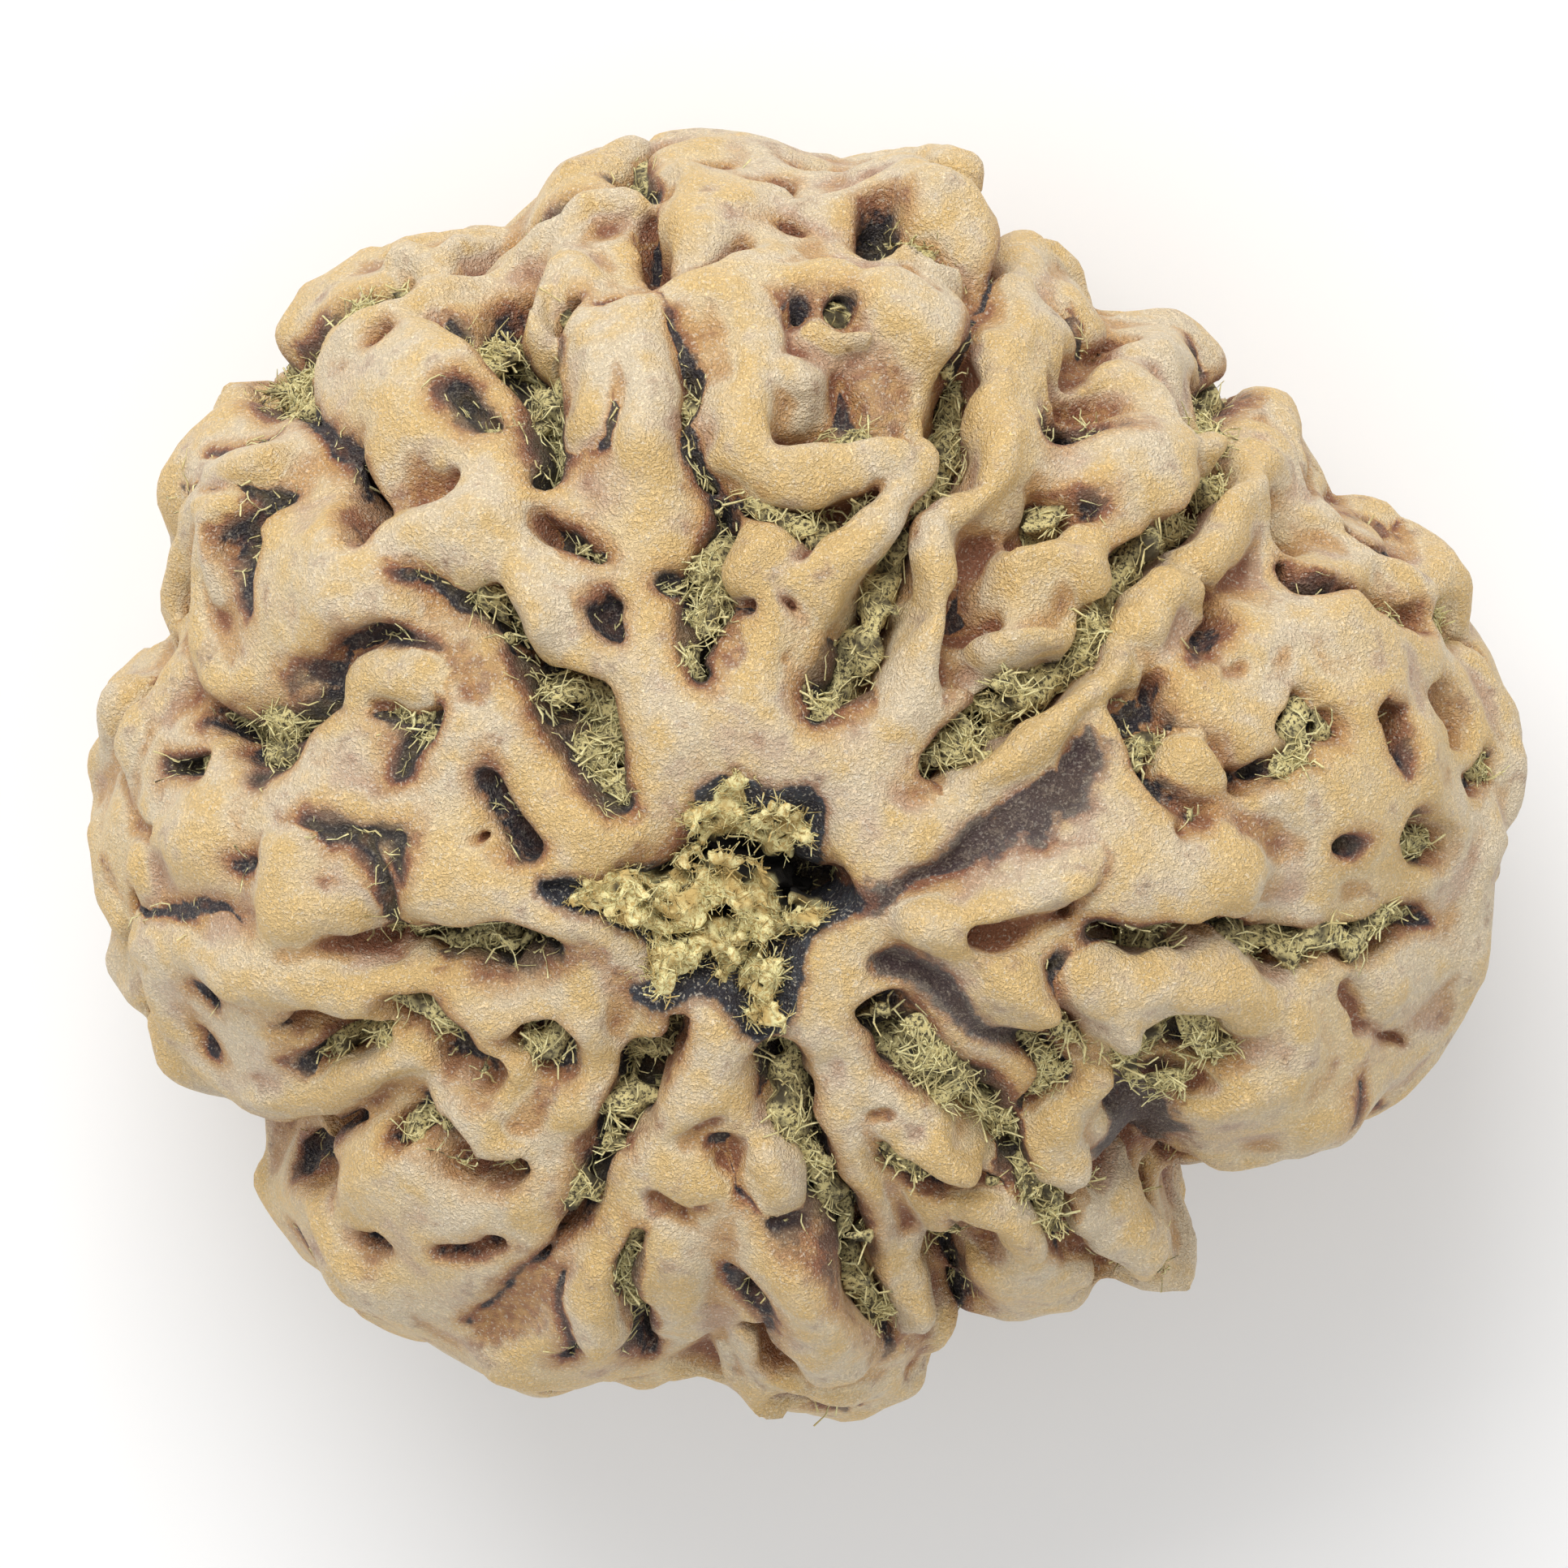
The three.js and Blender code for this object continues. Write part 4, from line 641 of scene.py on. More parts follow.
    raised(0.45, 0.35, (3.3, 4.6), (3.4, 3.9), (3.2, 3), (2.9, 2.2), (2.75, 1.5)),
    raised(0.48, 0.35, (4.8, 10.1), (4.9, 9), (4.8, 8), (4.8, 7.2), (4.5, 6.2), (4.3, 5.4), (3.8, 5)),
    raised(0.3, 0.35, (5.3, 9.8), (5.9, 9.4)),
    raised(0.52, 0.42, (5.1, 4.2), (5.8, 4.2), (6.3, 4)),
    raised(0.42, 0.42, (4.6, 2.65), (5.2, 2.8), (5.6, 2.75)),
    raised(0.35, 0.28, (8.2, 6.3), (8.4, 6.4)),
    # Lobe at the right, between the cleft at 41 degrees and the half-closed one
    cut(0.2, 0.8, (8.2, 3.5), (8.3, 3.1), (8.15, 2.5)),
    cut(0.22, 0.9, (7.6, 1.9), (7.75, 1.5), (8.1, 1), (8.8, 0.65)),
    bowl(0.2, 0.5, (8.4, 2.5), (8.8, 2.25), (9, 2.3)),
    bowl(0.2, 0.4, (10.2, 5.3)),
    cut(0.13, 0.4, (10.8, 4.6), (11.3, 4.35), (11.8, 4.2)),
    cut(0.1, 0.3, (11, 4.85), (11.7, 4.85)),
    raised(0.45, 0.42, (9.4, 6), (8.8, 5.1), (8.3, 4.3)),
    raised(0.45, 0.35, (9.4, 7.2), (9.7, 6.5), (9.9, 5.6), (10, 4.8)),
    raised(0.37, 0.42, (7.2, 2.7), (7.55, 3.2), (7.8, 3.6)),
    raised(0.55, 0.35, (11.3, 5), (12.2, 4.2), (13, 3.3)),
    # Lobe at the right, from the half-closed cleft to the one at 347 degrees
    dusky(0.24, 0.4, (1.9, -2.3), (2.6, -2.1), (3.5, -1.4), (4.2, -0.9), (5, -0.4)),
    dusky(0.5, 0.3, (5, -0.5), (5.6, -0.1), (6, 0.4)),
    lined(0.25, 0.8, (6.9, 1.5), (7.4, 1.45), (7.8, 0.9), (7.5, 0.3), (7.7, -0.1), (8.3, -0.5)),
    cut(0.32, 1, (7.35, 1)),
    lined(0.25, 1, (10.2, 1.6, 0.16), (10, 1.2), (10.4, 1.05), (10.7, 1.2)),
    lined(0.25, 1.2, (11.5, 1.4, 0.14), (11.85, 1.05), (12, 0.6), (12, 0.3, 0.14)),
    cut(0.22, 0.9, (13, 1.6), (13.3, 1.2)),
    cut(0.17, 0.7, (13.6, 0.4), (13.45, 0)),
    lined(0.38, 1, (12.35, -1.05), (12.85, -1.15)),
    lined(0.28, 1.2, (11.1, -1.2)),
    lined(0.25, 1.2, (9.2, 0.05), (9.7, 0.25), (10.1, 0.45)),
    bowl(0.3, 0.25, (8.7, -0.5), (9.5, -1), (9.9, -1.4)),
    bowl(0.14, 0.4, (8, -0.9)),
    raised(0.35, 0.42, (8.3, 0.5)),
    raised(0.35, 0.28, (3.9, -0.2), (4.8, 0.3), (5.7, 1.1), (6.8, 2.1)),
    raised(0.58, 0.77, (2.8, -2.95), (3.9, -3.2), (4.7, -3.8), (5.1, -4.3)),
    raised(0.5, 0.77, (2.8, -2.85), (4, -2.3), (5, -1.9), (5.7, -1.75)),
    bowl(0.18, 0.5, (6.3, -1.1), (6.15, -1.8), (5.8, -2.5)),
    bowl(0.14, 0.2, (3.6, -1.4), (4.3, -1.2), (5.2, -1.1), (5.8, -1)),
    dent(0.18, 0.25, (3.6, -2.9), (4.6, -2.7), (5.8, -2.55)),
    raised(0.45, 0.42, (13.3, -1.9), (13.6, -0.9)),
    # Lobe at the lower right, between the clefts at 347 and 304 degrees
    dusky(0.24, 0.5, (2.4, -3.75), (2.9, -3.95), (3.6, -4.35), (4.3, -4.85), (4.9, -5.1)),
    lined(0.35, 0.9, (5.1, -5.3), (5.5, -5.7), (5.1, -6.2)),
    lined(0.3, 0.9, (5.65, -3.6), (5.8, -4.2), (5.8, -4.8)),
    bowl(0.3, 0.5, (5.9, -5.1), (6.8, -5.3)),
    lined(0.38, 1.2, (7.5, -4.8), (8, -4.65), (8.5, -4.8), (8.9, -5.15, 0.25)),
    lined(0.25, 0.9, (7.2, -5.7), (7.8, -5.7), (8.4, -6)),
    dusky(0.65, 1, (6.9, -6.3), (7.1, -6.9), (6.8, -7.4)),
    cut(0.18, 0.7, (6.1, -7.6), (6.5, -7.4), (6.9, -7.3)),
    bowl(0.5, 0.5, (7.5, -7.1), (8.2, -7.7)),
    bowl(0.3, 0.7, (6.3, -8.9), (6.4, -9.7)),
    cut(0.15, 0.8, (10.75, -5.7), (10.65, -6.3)),
    bowl(0.12, 0.35, (11.05, -4.1), (11, -5), (11.9, -4.9)),
    raised(0.45, 0.49, (5.7, -6.4), (5.7, -7.25)),
    raised(0.35, 0.35, (6.5, -4.3), (6.7, -4.8)),
    raised(0.5, 0.35, (6.3, -3.9), (7.2, -3.95), (8.2, -3.9), (9.2, -4), (9.75, -4.5), (9.8, -5.3),
           (9.5, -5.9), (9, -6.1)),
    raised(0.5, 0.28, (11.7, -4.2)),
    raised(0.75, 0.5, (6.8, -8.2), (7.1, -8.7)),
    # Lobe at the bottom right, between the clefts at 304 and 281 degrees
    lined(0.2, 0.9, (2.6, -7, 0.22), (2.8, -7.4, 0.35), (3.2, -7.75, 0.25), (4, -7.75), (5, -8, 0.16)),
    lined(0.17, 0.8, (3.5, -8.4), (3.35, -9), (3.2, -9.7)),
    bowl(0.4, 0.8, (3.8, -8.8), (4.4, -9.15)),
    bowl(0.25, 0.4, (2.2, -10.35), (2.8, -10.8)),
    bowl(0.1, 0.3, (4.9, -9.4)),
    bowl(0.1, 0.3, (2.3, -6.45)),
    raised(0.35, 0.35, (3, -6.9), (3.5, -7.2), (3.9, -7.4)),
    raised(0.45, 0.42, (2.7, -8.5), (2.7, -9.3), (2.6, -10)),
    raised(0.35, 0.35, (4, -8.25), (4.6, -8.45), (5.1, -8.75)),
    raised(0.45, 0.35, (5.7, -9.4)),
    raised(0.45, 0.35, (2.6, -11.1)),
    # Lobe at the bottom, between the clefts at 281 and 241 degrees
    lined(0.35, 1.1, (-2.45, -8.8, 0.2), (-2.55, -9.3), (-2.55, -9.9), (-2.5, -10.35),
          (-2.25, -10.7, 0.15)),
    bowl(0.3, 0.4, (-1.95, -8.2), (-1.3, -8.35)),
    bowl(0.17, 0.4, (-1, -6.7), (-0.75, -6.45)),
    bowl(0.14, 0.3, (-1.3, -6.85)),
    lined(0.18, 0.5, (-0.65, -6.95), (-0.35, -7.1), (-0.2, -7.4)),
    cut(0.13, 0.5, (-0.6, -7.3), (-0.4, -7.9), (0, -8.15), (0.8, -8.35)),
    cut(0.1, 0.4, (-0.8, -7.3), (-0.9, -7.8), (-1.1, -8.1)),
    cut(0.25, 0.5, (0.3, -8.5), (0.8, -8.5)),
    cut(0.45, 0.9, (-0.7, -9.1, 0.3), (-0.4, -9.6, 0.48), (-0.2, -9.9, 0.4)),
    cut(0.16, 0.8, (0, -10.2), (0, -10.6), (0.1, -11.2)),
    cut(0.22, 0.7, (-0.3, -10.4)),
    bowl(0.5, 0.5, (-4.5, -9.7), (-5.2, -10.4)),
    cut(0.2, 0.6, (-4, -9.8), (-3.9, -10.8)),
    raised(0.45, 0.35, (-1.3, -7.6)),
    raised(0.45, 0.35, (0.15, -7.3), (0.4, -7.85)),
    raised(0.35, 0.35, (-1.7, -8.8), (-1.6, -9.5), (-1.6, -10.3)),
    raised(0.35, 0.28, (-3.4, -9.6), (-3.25, -10.6)),
    raised(0.25, 0.28, (-1, -10.1), (-0.75, -10.8), (-0.3, -11.4), (0.4, -11.7)),
    # Lobe at the lower left, between the clefts at 241 and 190 degrees
    raised(0.55, 0.35, (-11.6, -2.95), (-10.2, -3.15), (-9.2, -3.55), (-8.2, -3.95), (-7.2, -4.1)),
    lined(0.25, 0.8, (-6.1, -5.5), (-5.5, -5.7)),
    lined(0.4, 1, (-5, -5, 0.15), (-4.7, -4.9, 0.2), (-4.2, -5.1), (-4.2, -5.5, 0.42)),
    bowl(0.3, 0.4, (-4.5, -6), (-4.6, -6.6)),
    lined(0.45, 1.1, (-7, -4.5), (-6.6, -4.6), (-6.2, -5.1)),
    cut(0.27, 1, (-10.35, -4.05)),
    cut(0.27, 1, (-10.25, -5.05)),
    cut(0.15, 0.9, (-9.3, -4.4), (-8.6, -4.45)),
    lined(0.35, 1.2, (-8.85, -5.2), (-8.1, -4.85)),
    cut(0.15, 0.8, (-8.3, -6.2), (-7.6, -6.1)),
    cut(0.3, 0.8, (-8.8, -6.95), (-8.1, -7.1)),
    bowl(0.4, 0.4, (-8.5, -7.6)),
    lined(0.28, 1, (-7.1, -6.8), (-6.8, -6.7), (-6.4, -7.1), (-6.1, -7), (-6, -7.6), (-5.2, -7.6)),
    cut(0.25, 1, (-7.5, -8.8), (-7.25, -8.8)),
    cut(0.15, 0.7, (-6.1, -8.87), (-5.4, -8.82)),
    cut(0.08, 0.5, (-7.95, -9.5), (-7.7, -9.6)),
    bowl(0.13, 0.4, (-11.9, -2.7), (-11.8, -3.6), (-11.4, -4.5)),
    raised(0.4, 0.28, (-9.6, -5.8), (-8.4, -5.65), (-7.5, -5.4)),
    # Lobe at the left, between the clefts at 190 and 140 degrees
    cut(0.17, 1, (-10.4, 6.35), (-9.55, 6.7)),
    lined(0.3, 1.3, (-10.3, 5.45), (-9.9, 5.5), (-9.3, 5.3)),
    lined(0.3, 1.2, (-9.6, 4.9), (-10, 4.5), (-9.7, 4.2), (-9.75, 3.6, 0.22), (-9.65, 3.1, 0.14)),
    cut(0.3, 0.7, (-9.2, 1.9, 0.16), (-8.1, 1.95, 0.2), (-7.8, 2.4), (-7.2, 2.7), (-6.6, 2.5),
        (-6.4, 2.1, 0.2)),
    lined(0.3, 0.9, (-7.2, 1.2), (-6.5, 1.3), (-6.9, 0.7, 0.25), (-6.8, 0.2, 0.2)),
    lined(0.33, 1.2, (-10.25, 1.3), (-9.1, 1.3), (-8.1, 1.5)),
    lined(0.38, 1, (-9.6, 0.8), (-9.2, 0.5), (-9.6, 0.1)),
    lined(0.27, 0.9, (-11.3, 0.2), (-10.8, 0.2)),
    bowl(0.13, 0.4, (-12.2, 0), (-11.9, -0.6), (-11.6, -0.95)),
    cut(0.22, 0.7, (-9.8, -1.4), (-9.5, -1.3)),
    bowl(0.15, 0.4, (-9.6, -1.1), (-9.3, -0.85), (-8.8, -0.7)),
    lined(0.25, 0.9, (-8.5, -0.7, 0.2), (-7.9, -0.8), (-7.5, -1.1), (-7.45, -1.9), (-7.6, -2.6)),
    lined(0.22, 0.8, (-7.2, -1), (-6.7, -1), (-7, -1.5)),
    cut(0.35, 1, (-5.3, 0.1), (-5.1, -0.4), (-4.4, -1.2)),
    bowl(0.2, 0.5, (-5.4, -1.1)),
    bowl(0.14, 0.4, (-8.25, -1.8)),
    raised(0.3, 0.28, (-10.9, 5.05), (-10.15, 5.1)),
    raised(0.3, 0.28, (-10.8, 5.95), (-9.5, 5.9)),
    raised(0.35, 0.21, (-7.6, 1.7), (-6.8, 2)),
    raised(0.5, 0.42, (-8.95, -1.3), (-9, -2), (-8.9, -2.45)),
    raised(0.38, 0.35, (-8.9, -2.5), (-8.35, -2.5)),
    raised(0.45, 0.28, (-11.8, -1.4)),
    # Lobe at the upper left, between the clefts at 140 and 102 degrees
    lined(0.45, 1.5, (-4.5, 9.3, 0.25), (-4.85, 8.5, 0.38), (-4.6, 7.9), (-4.25, 7.3), (-4.3, 6.6),
          (-4.25, 5.95, 0.38)),
    lined(0.2, 0.9, (-4.1, 6.45), (-3.1, 6.5), (-2.75, 7)),
    lined(0.22, 0.9, (-3.5, 9.1), (-3.65, 8.6), (-3.9, 8)),
    cut(0.2, 0.8, (-2.7, 9.1)),
    lined(0.3, 1, (-5.85, 7.25), (-5.5, 6.8)),
    bowl(0.35, 0.8, (-6.9, 5.8), (-6.2, 5.8)),
    lined(0.36, 0.9, (-4.3, 4.95), (-3.9, 4.7), (-3.15, 4.2, 0.2)),
    lined(0.58, 1.9, (-5.4, 3.6)),
    lined(0.3, 1.2, (-6.5, 3.85, 0.18), (-5.9, 3.6)),
    cut(0.4, 0.9, (-2.95, 2.9), (-2.75, 3.3, 0.25)),
    cut(0.26, 1.2, (-7.2, 9.2), (-6.8, 9.1)),
    cut(0.27, 1, (-7.2, 8.3)),
    lined(0.25, 1, (-1.8, 4), (-1.3, 4)),
    bowl(0.1, 0.3, (-3.65, 3.2)),
    bowl(0.1, 0.3, (-5, 0.75)),
    bowl(0.1, 0.3, (-2.3, 3.2)),
    raised(0.4, 0.35, (-2.3, 8.8), (-2.1, 7.8), (-2.05, 7), (-2.3, 6.2)),
    raised(0.4, 0.35, (-3, 8.6), (-3.2, 7.6), (-3.4, 7)),
    raised(0.3, 0.35, (-4, 10.2), (-4, 9.2), (-4, 8.3)),
    raised(0.35, 0.35, (-4.2, 10.3), (-3.5, 10.8), (-2.8, 11)),
    raised(0.35, 0.35, (-3.5, 11.4), (-2.6, 11.8)),
    raised(0.45, 0.42, (-8.3, 9.1), (-7.4, 9.8), (-6.3, 9.7), (-5.2, 9.9)),
    raised(0.6, 0.49, (-6.4, 4.75), (-5, 4.8)),
    raised(0.4, 0.28, (-4.6, 4.2), (-4.45, 3.4), (-4.2, 2.8)),
    # The star itself
    STAR_OUTLINE, *STAR,
)


@dataclass
class Growth:
    """Strokes of the underside, grown lobe by lobe between the clefts from a seeded number.

    Args:
        clefts: Angles of the clefts, in degrees.
        cleft_latitudes: Latitudes of a cleft's points.
        rows: Latitudes of the rows of ridges.
        cell: Width of one cell of a row, in degrees.
        state: State of the random number.
    """

    clefts: tuple[int, ...] = (14, 41, 67, 102, 140, 190, 241, 281, 304, 347)
    cleft_latitudes: tuple[int, ...] = (8, -12, -32, -50, -64)
    rows: tuple[int, ...] = (15, 3, -9, -20, -31, -42, -52)
    cell: float = 13.0
    state: int = 7

    def random(self) -> float:
        """Return the next random number from 0 to 1."""
        self.state = self.state * 16807 % (2**31 - 1)
        return self.state / (2**31 - 1)

    def jitter(self, size: float) -> float:
        """Return a random number between minus and plus a size."""
        return (self.random() * 2 - 1) * size

    def between(self, least: float, most: float) -> float:
        """Return a random number between two values."""
        return least + self.random() * (most - least)

    def grow_cell(self, longitude: float, latitude: float, shrink: float) -> list[Stroke]:
        """Return one cell's ridge, with a groove or pit below it.

        Args:
            longitude: Longitude of its middle, in degrees.
            latitude: Latitude of its middle, in degrees.
            shrink: Share of the equator's circumference at that latitude.

        Returns:
            The ridge and the hollow.
        """
        slope = self.jitter(6)
        reach = self.between(3, 6) / shrink
        middle = (longitude, latitude + self.jitter(1.5))
        line = ((longitude - reach, latitude - slope), middle, (longitude + reach, latitude + slope))
        crest = tuple((lon, lat + 6) for lon, lat in line)
        ridge = raised(self.between(0.42, 0.62), 0.3, *crest)
        if self.random() < 0.45:
            return [ridge, lined(self.between(0.24, 0.38), 1, (longitude, latitude - 5))]
        half_width = self.between(0.2, 0.34)
        return [ridge, lined(half_width, self.between(0.7, 1.2), *line)]

    def grow(self) -> list[Stroke]:
        """Grow the underside.

        Returns:
            Its strokes, the clefts last.
        """
        clefts = []
        for angle in self.clefts:
            wander = [self.jitter(3 if index else 0) for index in range(len(self.cleft_latitudes))]
            points = [(angle + shift, lat) for shift, lat in zip(wander, self.cleft_latitudes)]
            clefts.append(lined(0.34, 1.9, *points))
        strokes = []
        for index, angle in enumerate(self.clefts):
            width = (self.clefts[(index + 1) % len(self.clefts)] - angle) % 360
            for latitude in self.rows:
                shrink = math.cos(math.radians(latitude))
                cells = max(1, math.floor(width * shrink / self.cell + 0.5))
                for cell in range(cells):
                    longitude = angle + width * (cell + 0.5) / cells + self.jitter(4) / shrink
                    strokes += self.grow_cell(longitude, latitude + self.jitter(4), shrink)
        return strokes + clefts


@dataclass(frozen=True)
class Relief:
    """All strokes of the seed, set on its body.

    Args:
        body: The body.
        eye: The eye that the star's side is drawn for.
        spacing: Distance between a stroke's stations.
    """

    body: Body
    eye: Eye
    spacing: float = 0.8

    def chain(self, stroke: Stroke, scale: float) -> list[Triple]:
        """Add points to a stroke where its own lie far apart.

        Args:
            stroke: Drawn stroke.
            scale: Millimetres in one unit of the drawing.

        Returns:
            All points, each with its half-width.
        """
        points = [(*point[:2], point[2] if len(point) > 2 else stroke.half_width) for point in stroke.points]
        chain = points[:1]
        for start, end in zip(points, points[1:]):
            count = max(1, math.ceil(math.dist(start[:2], end[:2]) * scale / self.spacing))
            for step in range(1, count + 1):
                chain.append(tuple(a + (b - a) * step / count for a, b in zip(start, end)))
        return chain

    def globe(self, drawn: Array) -> Array:
        """Find the body's points at longitudes and latitudes.

        Args:
            drawn: (n, 2) longitudes and latitudes, in degrees.

        Returns:
            (n, 3) points.
        """
        longitude, latitude = np.radians(drawn[:, 0]), np.radians(drawn[:, 1])
        flat = np.cos(latitude)
        ways = np.stack([np.cos(longitude) * flat, np.sin(longitude) * flat, np.sin(latitude)], axis=1)
        return self.body.settle(ways)

    def set_strokes(self) -> list[SetStroke]:
        """Set all strokes on the body.

        Returns:
            The underside's strokes and then the star side's.
        """
        grown, drawn = Growth().grow(), list(STAR_SIDE)
        degree = math.pi / 180 * self.body.half_height
        below, above = self.place(grown, self.globe, degree), self.place(drawn, self.seen, 1.0)
        outline = drawn.index(STAR_OUTLINE)
        above[outline] = SetOutline(STAR_OUTLINE, self.body, self.eye)
        return below + above

    def seen(self, drawn: Array) -> Array:
        """Return the body's points that the eye sees behind drawn points."""
        return self.eye.seen(self.body, drawn)

    def place(
        self, strokes: Sequence[Stroke], onto: Callable[[Array], Array], scale: float
    ) -> list[SetStroke]:
        """Set strokes on the body.

        Args:
            strokes: Drawn strokes.
            onto: Puts drawn points on the body.
            scale: Millimetres in one unit of the drawing.

        Returns:
            The set strokes, in the same order.
        """
        chains = [self.chain(stroke, scale) for stroke in strokes]
        flat = np.array([point for chain in chains for point in chain])
        places = onto(flat[:, :2])
        ups = places / np.linalg.norm(places, axis=1)[:, None]
        stations = [Station(*row) for row in zip(places, ups, flat[:, 2])]
        ends = np.cumsum([len(chain) for chain in chains])
        return [
            SetStroke(stroke, tuple(stations[end - len(chain):end]))
            for stroke, chain, end in zip(strokes, chains, ends)
        ]


@dataclass(frozen=True)
class Waver:
    """Smooth random values over a box, from a coarse seeded lattice.

    Args:
        low: Lowest corner of the box.
        high: Highest corner.
        spacing: Spacing of the lattice.
        seed: Seed of its random numbers.
        parts: Values at each point.
    """

    low: Triple
    high: Triple
    spacing: float
    seed: int
    parts: int = 1

    def counts(self) -> tuple[int, ...]:
        """Return the lattice's counts along the axes."""
        return tuple(math.ceil((b - a) / self.spacing) + 5 for a, b in zip(self.low, self.high))

    def lattice(self) -> Array:
        """Return the coarse random values, from -1 to 1."""
        values = np.random.default_rng(self.seed).uniform(-1, 1, (self.parts, *self.counts()))
        return values.astype(np.float32)

    def weights(self, axis: int, values: Array) -> Array:
        """Weigh the lattice's points for places on one axis, as a cubic spline does.

        Args:
            axis: The axis.
            values: Places on it.

        Returns:
            One row of weights for each place.
        """
        place = (values - self.low[axis]) / self.spacing + 2
        base = np.floor(place).astype(int)
        part = place - base
        table = np.zeros((len(values), self.counts()[axis]), np.float32)
        rows = np.arange(len(values))
        table[rows, base - 1] = (1 - part) ** 3 / 6
        table[rows, base] = (3 * part**3 - 6 * part**2 + 4) / 6
        table[rows, base + 1] = (-3 * part**3 + 3 * part**2 + 3 * part + 1) / 6
        table[rows, base + 2] = part**3 / 6
        return table

    def over(self, axes: Coordinates) -> Array:
        """Work out the values over a block.

        Args:
            axes: The block's axes.

        Returns:
            (parts, x, y, z) values.
        """
        values = self.lattice()
        for axis, sums in enumerate(("ai,pijk->pajk", "bj,pajk->pabk", "ck,pabk->pabc")):
            values = np.einsum(sums, self.weights(axis, axes[axis]), values, optimize=True)
        return values


Part = tuple[slice, ...]


@dataclass
class Block:
    """A block of cells that holds how far each of its points lies outside the material.

    Args:
        low: Lowest corner, from the seed's centre.
        high: Highest corner.
        pitch: Size of a cell.
    """

    low: Triple
    high: Triple
    pitch: float
    axes: Coordinates = field(init=False)
    values: Array = field(init=False)
    bend: Array = field(init=False)

    def __post_init__(self) -> None:
        self.pitch *= 1
        self.axes = tuple(
            np.arange(a, b + self.pitch, self.pitch, dtype=np.float32) for a, b in zip(self.low, self.high)
        )
        self.values = np.ones(tuple(len(axis) for axis in self.axes), np.float32)
        self.bend = np.zeros((3, 1, 1, 1), np.float32)

    def bend_by(self, waver: Waver, size: float) -> None:
        """Shift every point that is looked up by a smooth random amount."""
        self.bend = self.bend + waver.over(self.axes) * size

    def wave(self, spacing: float, seed: int) -> Array:
        """Return a smooth random value for each point, from a lattice of a spacing."""
        return Waver(self.low, self.high, spacing, seed).over(self.axes)[0]

    def roughen(self, *waves: tuple[float, float, int]) -> None:
        """Raise and sink the skin by smooth random amounts, each a size, a spacing and a seed."""
        for size, spacing, seed in waves:
            self.values += self.wave(spacing, seed) * size

    def pierce(self, spacing: float, seed: int, least: float, slope: float) -> None:
        """Open holes where a wave is higher than a least value, as fast as the slope says."""
        self.values += np.maximum(self.wave(spacing, seed) - least, 0) * slope

    def round_off(self, radius: float, flat: float = 0.49) -> None:
        """Wear down the skin where less material lies within a radius than the share of a flat skin."""
        self.values += np.maximum(flat - self.crowding(radius), 0)

    def part(self, low: Array, high: Array) -> Part:
        """Find the part of the block between two corners.

        Args:
            low: Lowest corner.
            high: Highest corner.

        Returns:
            Its slices.
        """
        return tuple(
            slice(
                int(np.clip(math.floor((a - start) / self.pitch), 0, count)),
                int(np.clip(math.ceil((b - start) / self.pitch) + 1, 0, count)),
            )
            for a, b, start, count in zip(low, high, self.low, self.values.shape)
        )

    @staticmethod
    def holds_none(part: Part) -> bool:
        """Return whether a part holds no point."""
        return any(piece.stop <= piece.start for piece in part)

    def at(self, part: Part = (slice(None),) * 3) -> Coordinates:
        """Bend the coordinates of points.

        Args:
            part: Part of the block that they are in.

        Returns:
            Their bent coordinates.
        """
        x, y, z = (axis[piece] for axis, piece in zip(self.axes, part))
        bend = self.bend[(slice(None), *part)]
        return x[:, None, None] + bend[0], y[None, :, None] + bend[1], z[None, None, :] + bend[2]

    def fill(self, body: Body) -> None:
        """Fill the block with a body.

        Args:
            body: The body.
        """
        x, y, z = self.axes
        reach = body.reach(x[:, None].astype(float), y[None, :].astype(float))
        flat = np.hypot(x[:, None], y[None, :])
        across = ((flat / reach) ** body.roundness).astype(np.float32)
        along = ((np.abs(z) / body.half_height) ** body.roundness).astype(np.float32)
        level = np.maximum(across[:, :, None] + along[None, None, :], NEARLY_NONE)
        level **= np.float32(1 / body.roundness)
        length = np.sqrt((flat * flat)[:, :, None] + (z * z)[None, None, :])
        self.values = length * (1 - 1 / level)

    def keep_inside(self, shape: Array) -> None:
        """Take away the material outside a shape, given by how far points lie outside it."""
        self.values = np.maximum(self.values, shape.astype(np.float32))

    def work(self, strokes: Iterable[SetStroke]) -> None:
        """Cut and raise the material, one stroke after the other.

        Args:
            strokes: Strokes set on the body.
        """
        for stroke in strokes:
            bounds = [stroke.bounds(span) for span in stroke.spans()]
            low = np.min([corner for corner, _ in bounds], axis=0)
            high = np.max([corner for _, corner in bounds], axis=0)
            whole = self.part(low, high)
            if self.holds_none(whole):
                continue
            shape = np.full([piece.stop - piece.start for piece in whole], FAR, np.float32)
            for span, corners in zip(stroke.spans(), bounds):
                part = self.part(*corners)
                if self.holds_none(part):
                    continue
                inner = tuple(
                    slice(piece.start - outer.start, piece.stop - outer.start)
                    for piece, outer in zip(part, whole)
                )
                found = stroke.shape(span, self.at(part)).astype(np.float32)
                shape[inner] = np.minimum(shape[inner], found)
            sign = -1 if stroke.stroke.kind is StrokeKind.RAISE else 1
            self.values[whole] = sign * blended_max(sign * self.values[whole], -shape, stroke.blend)

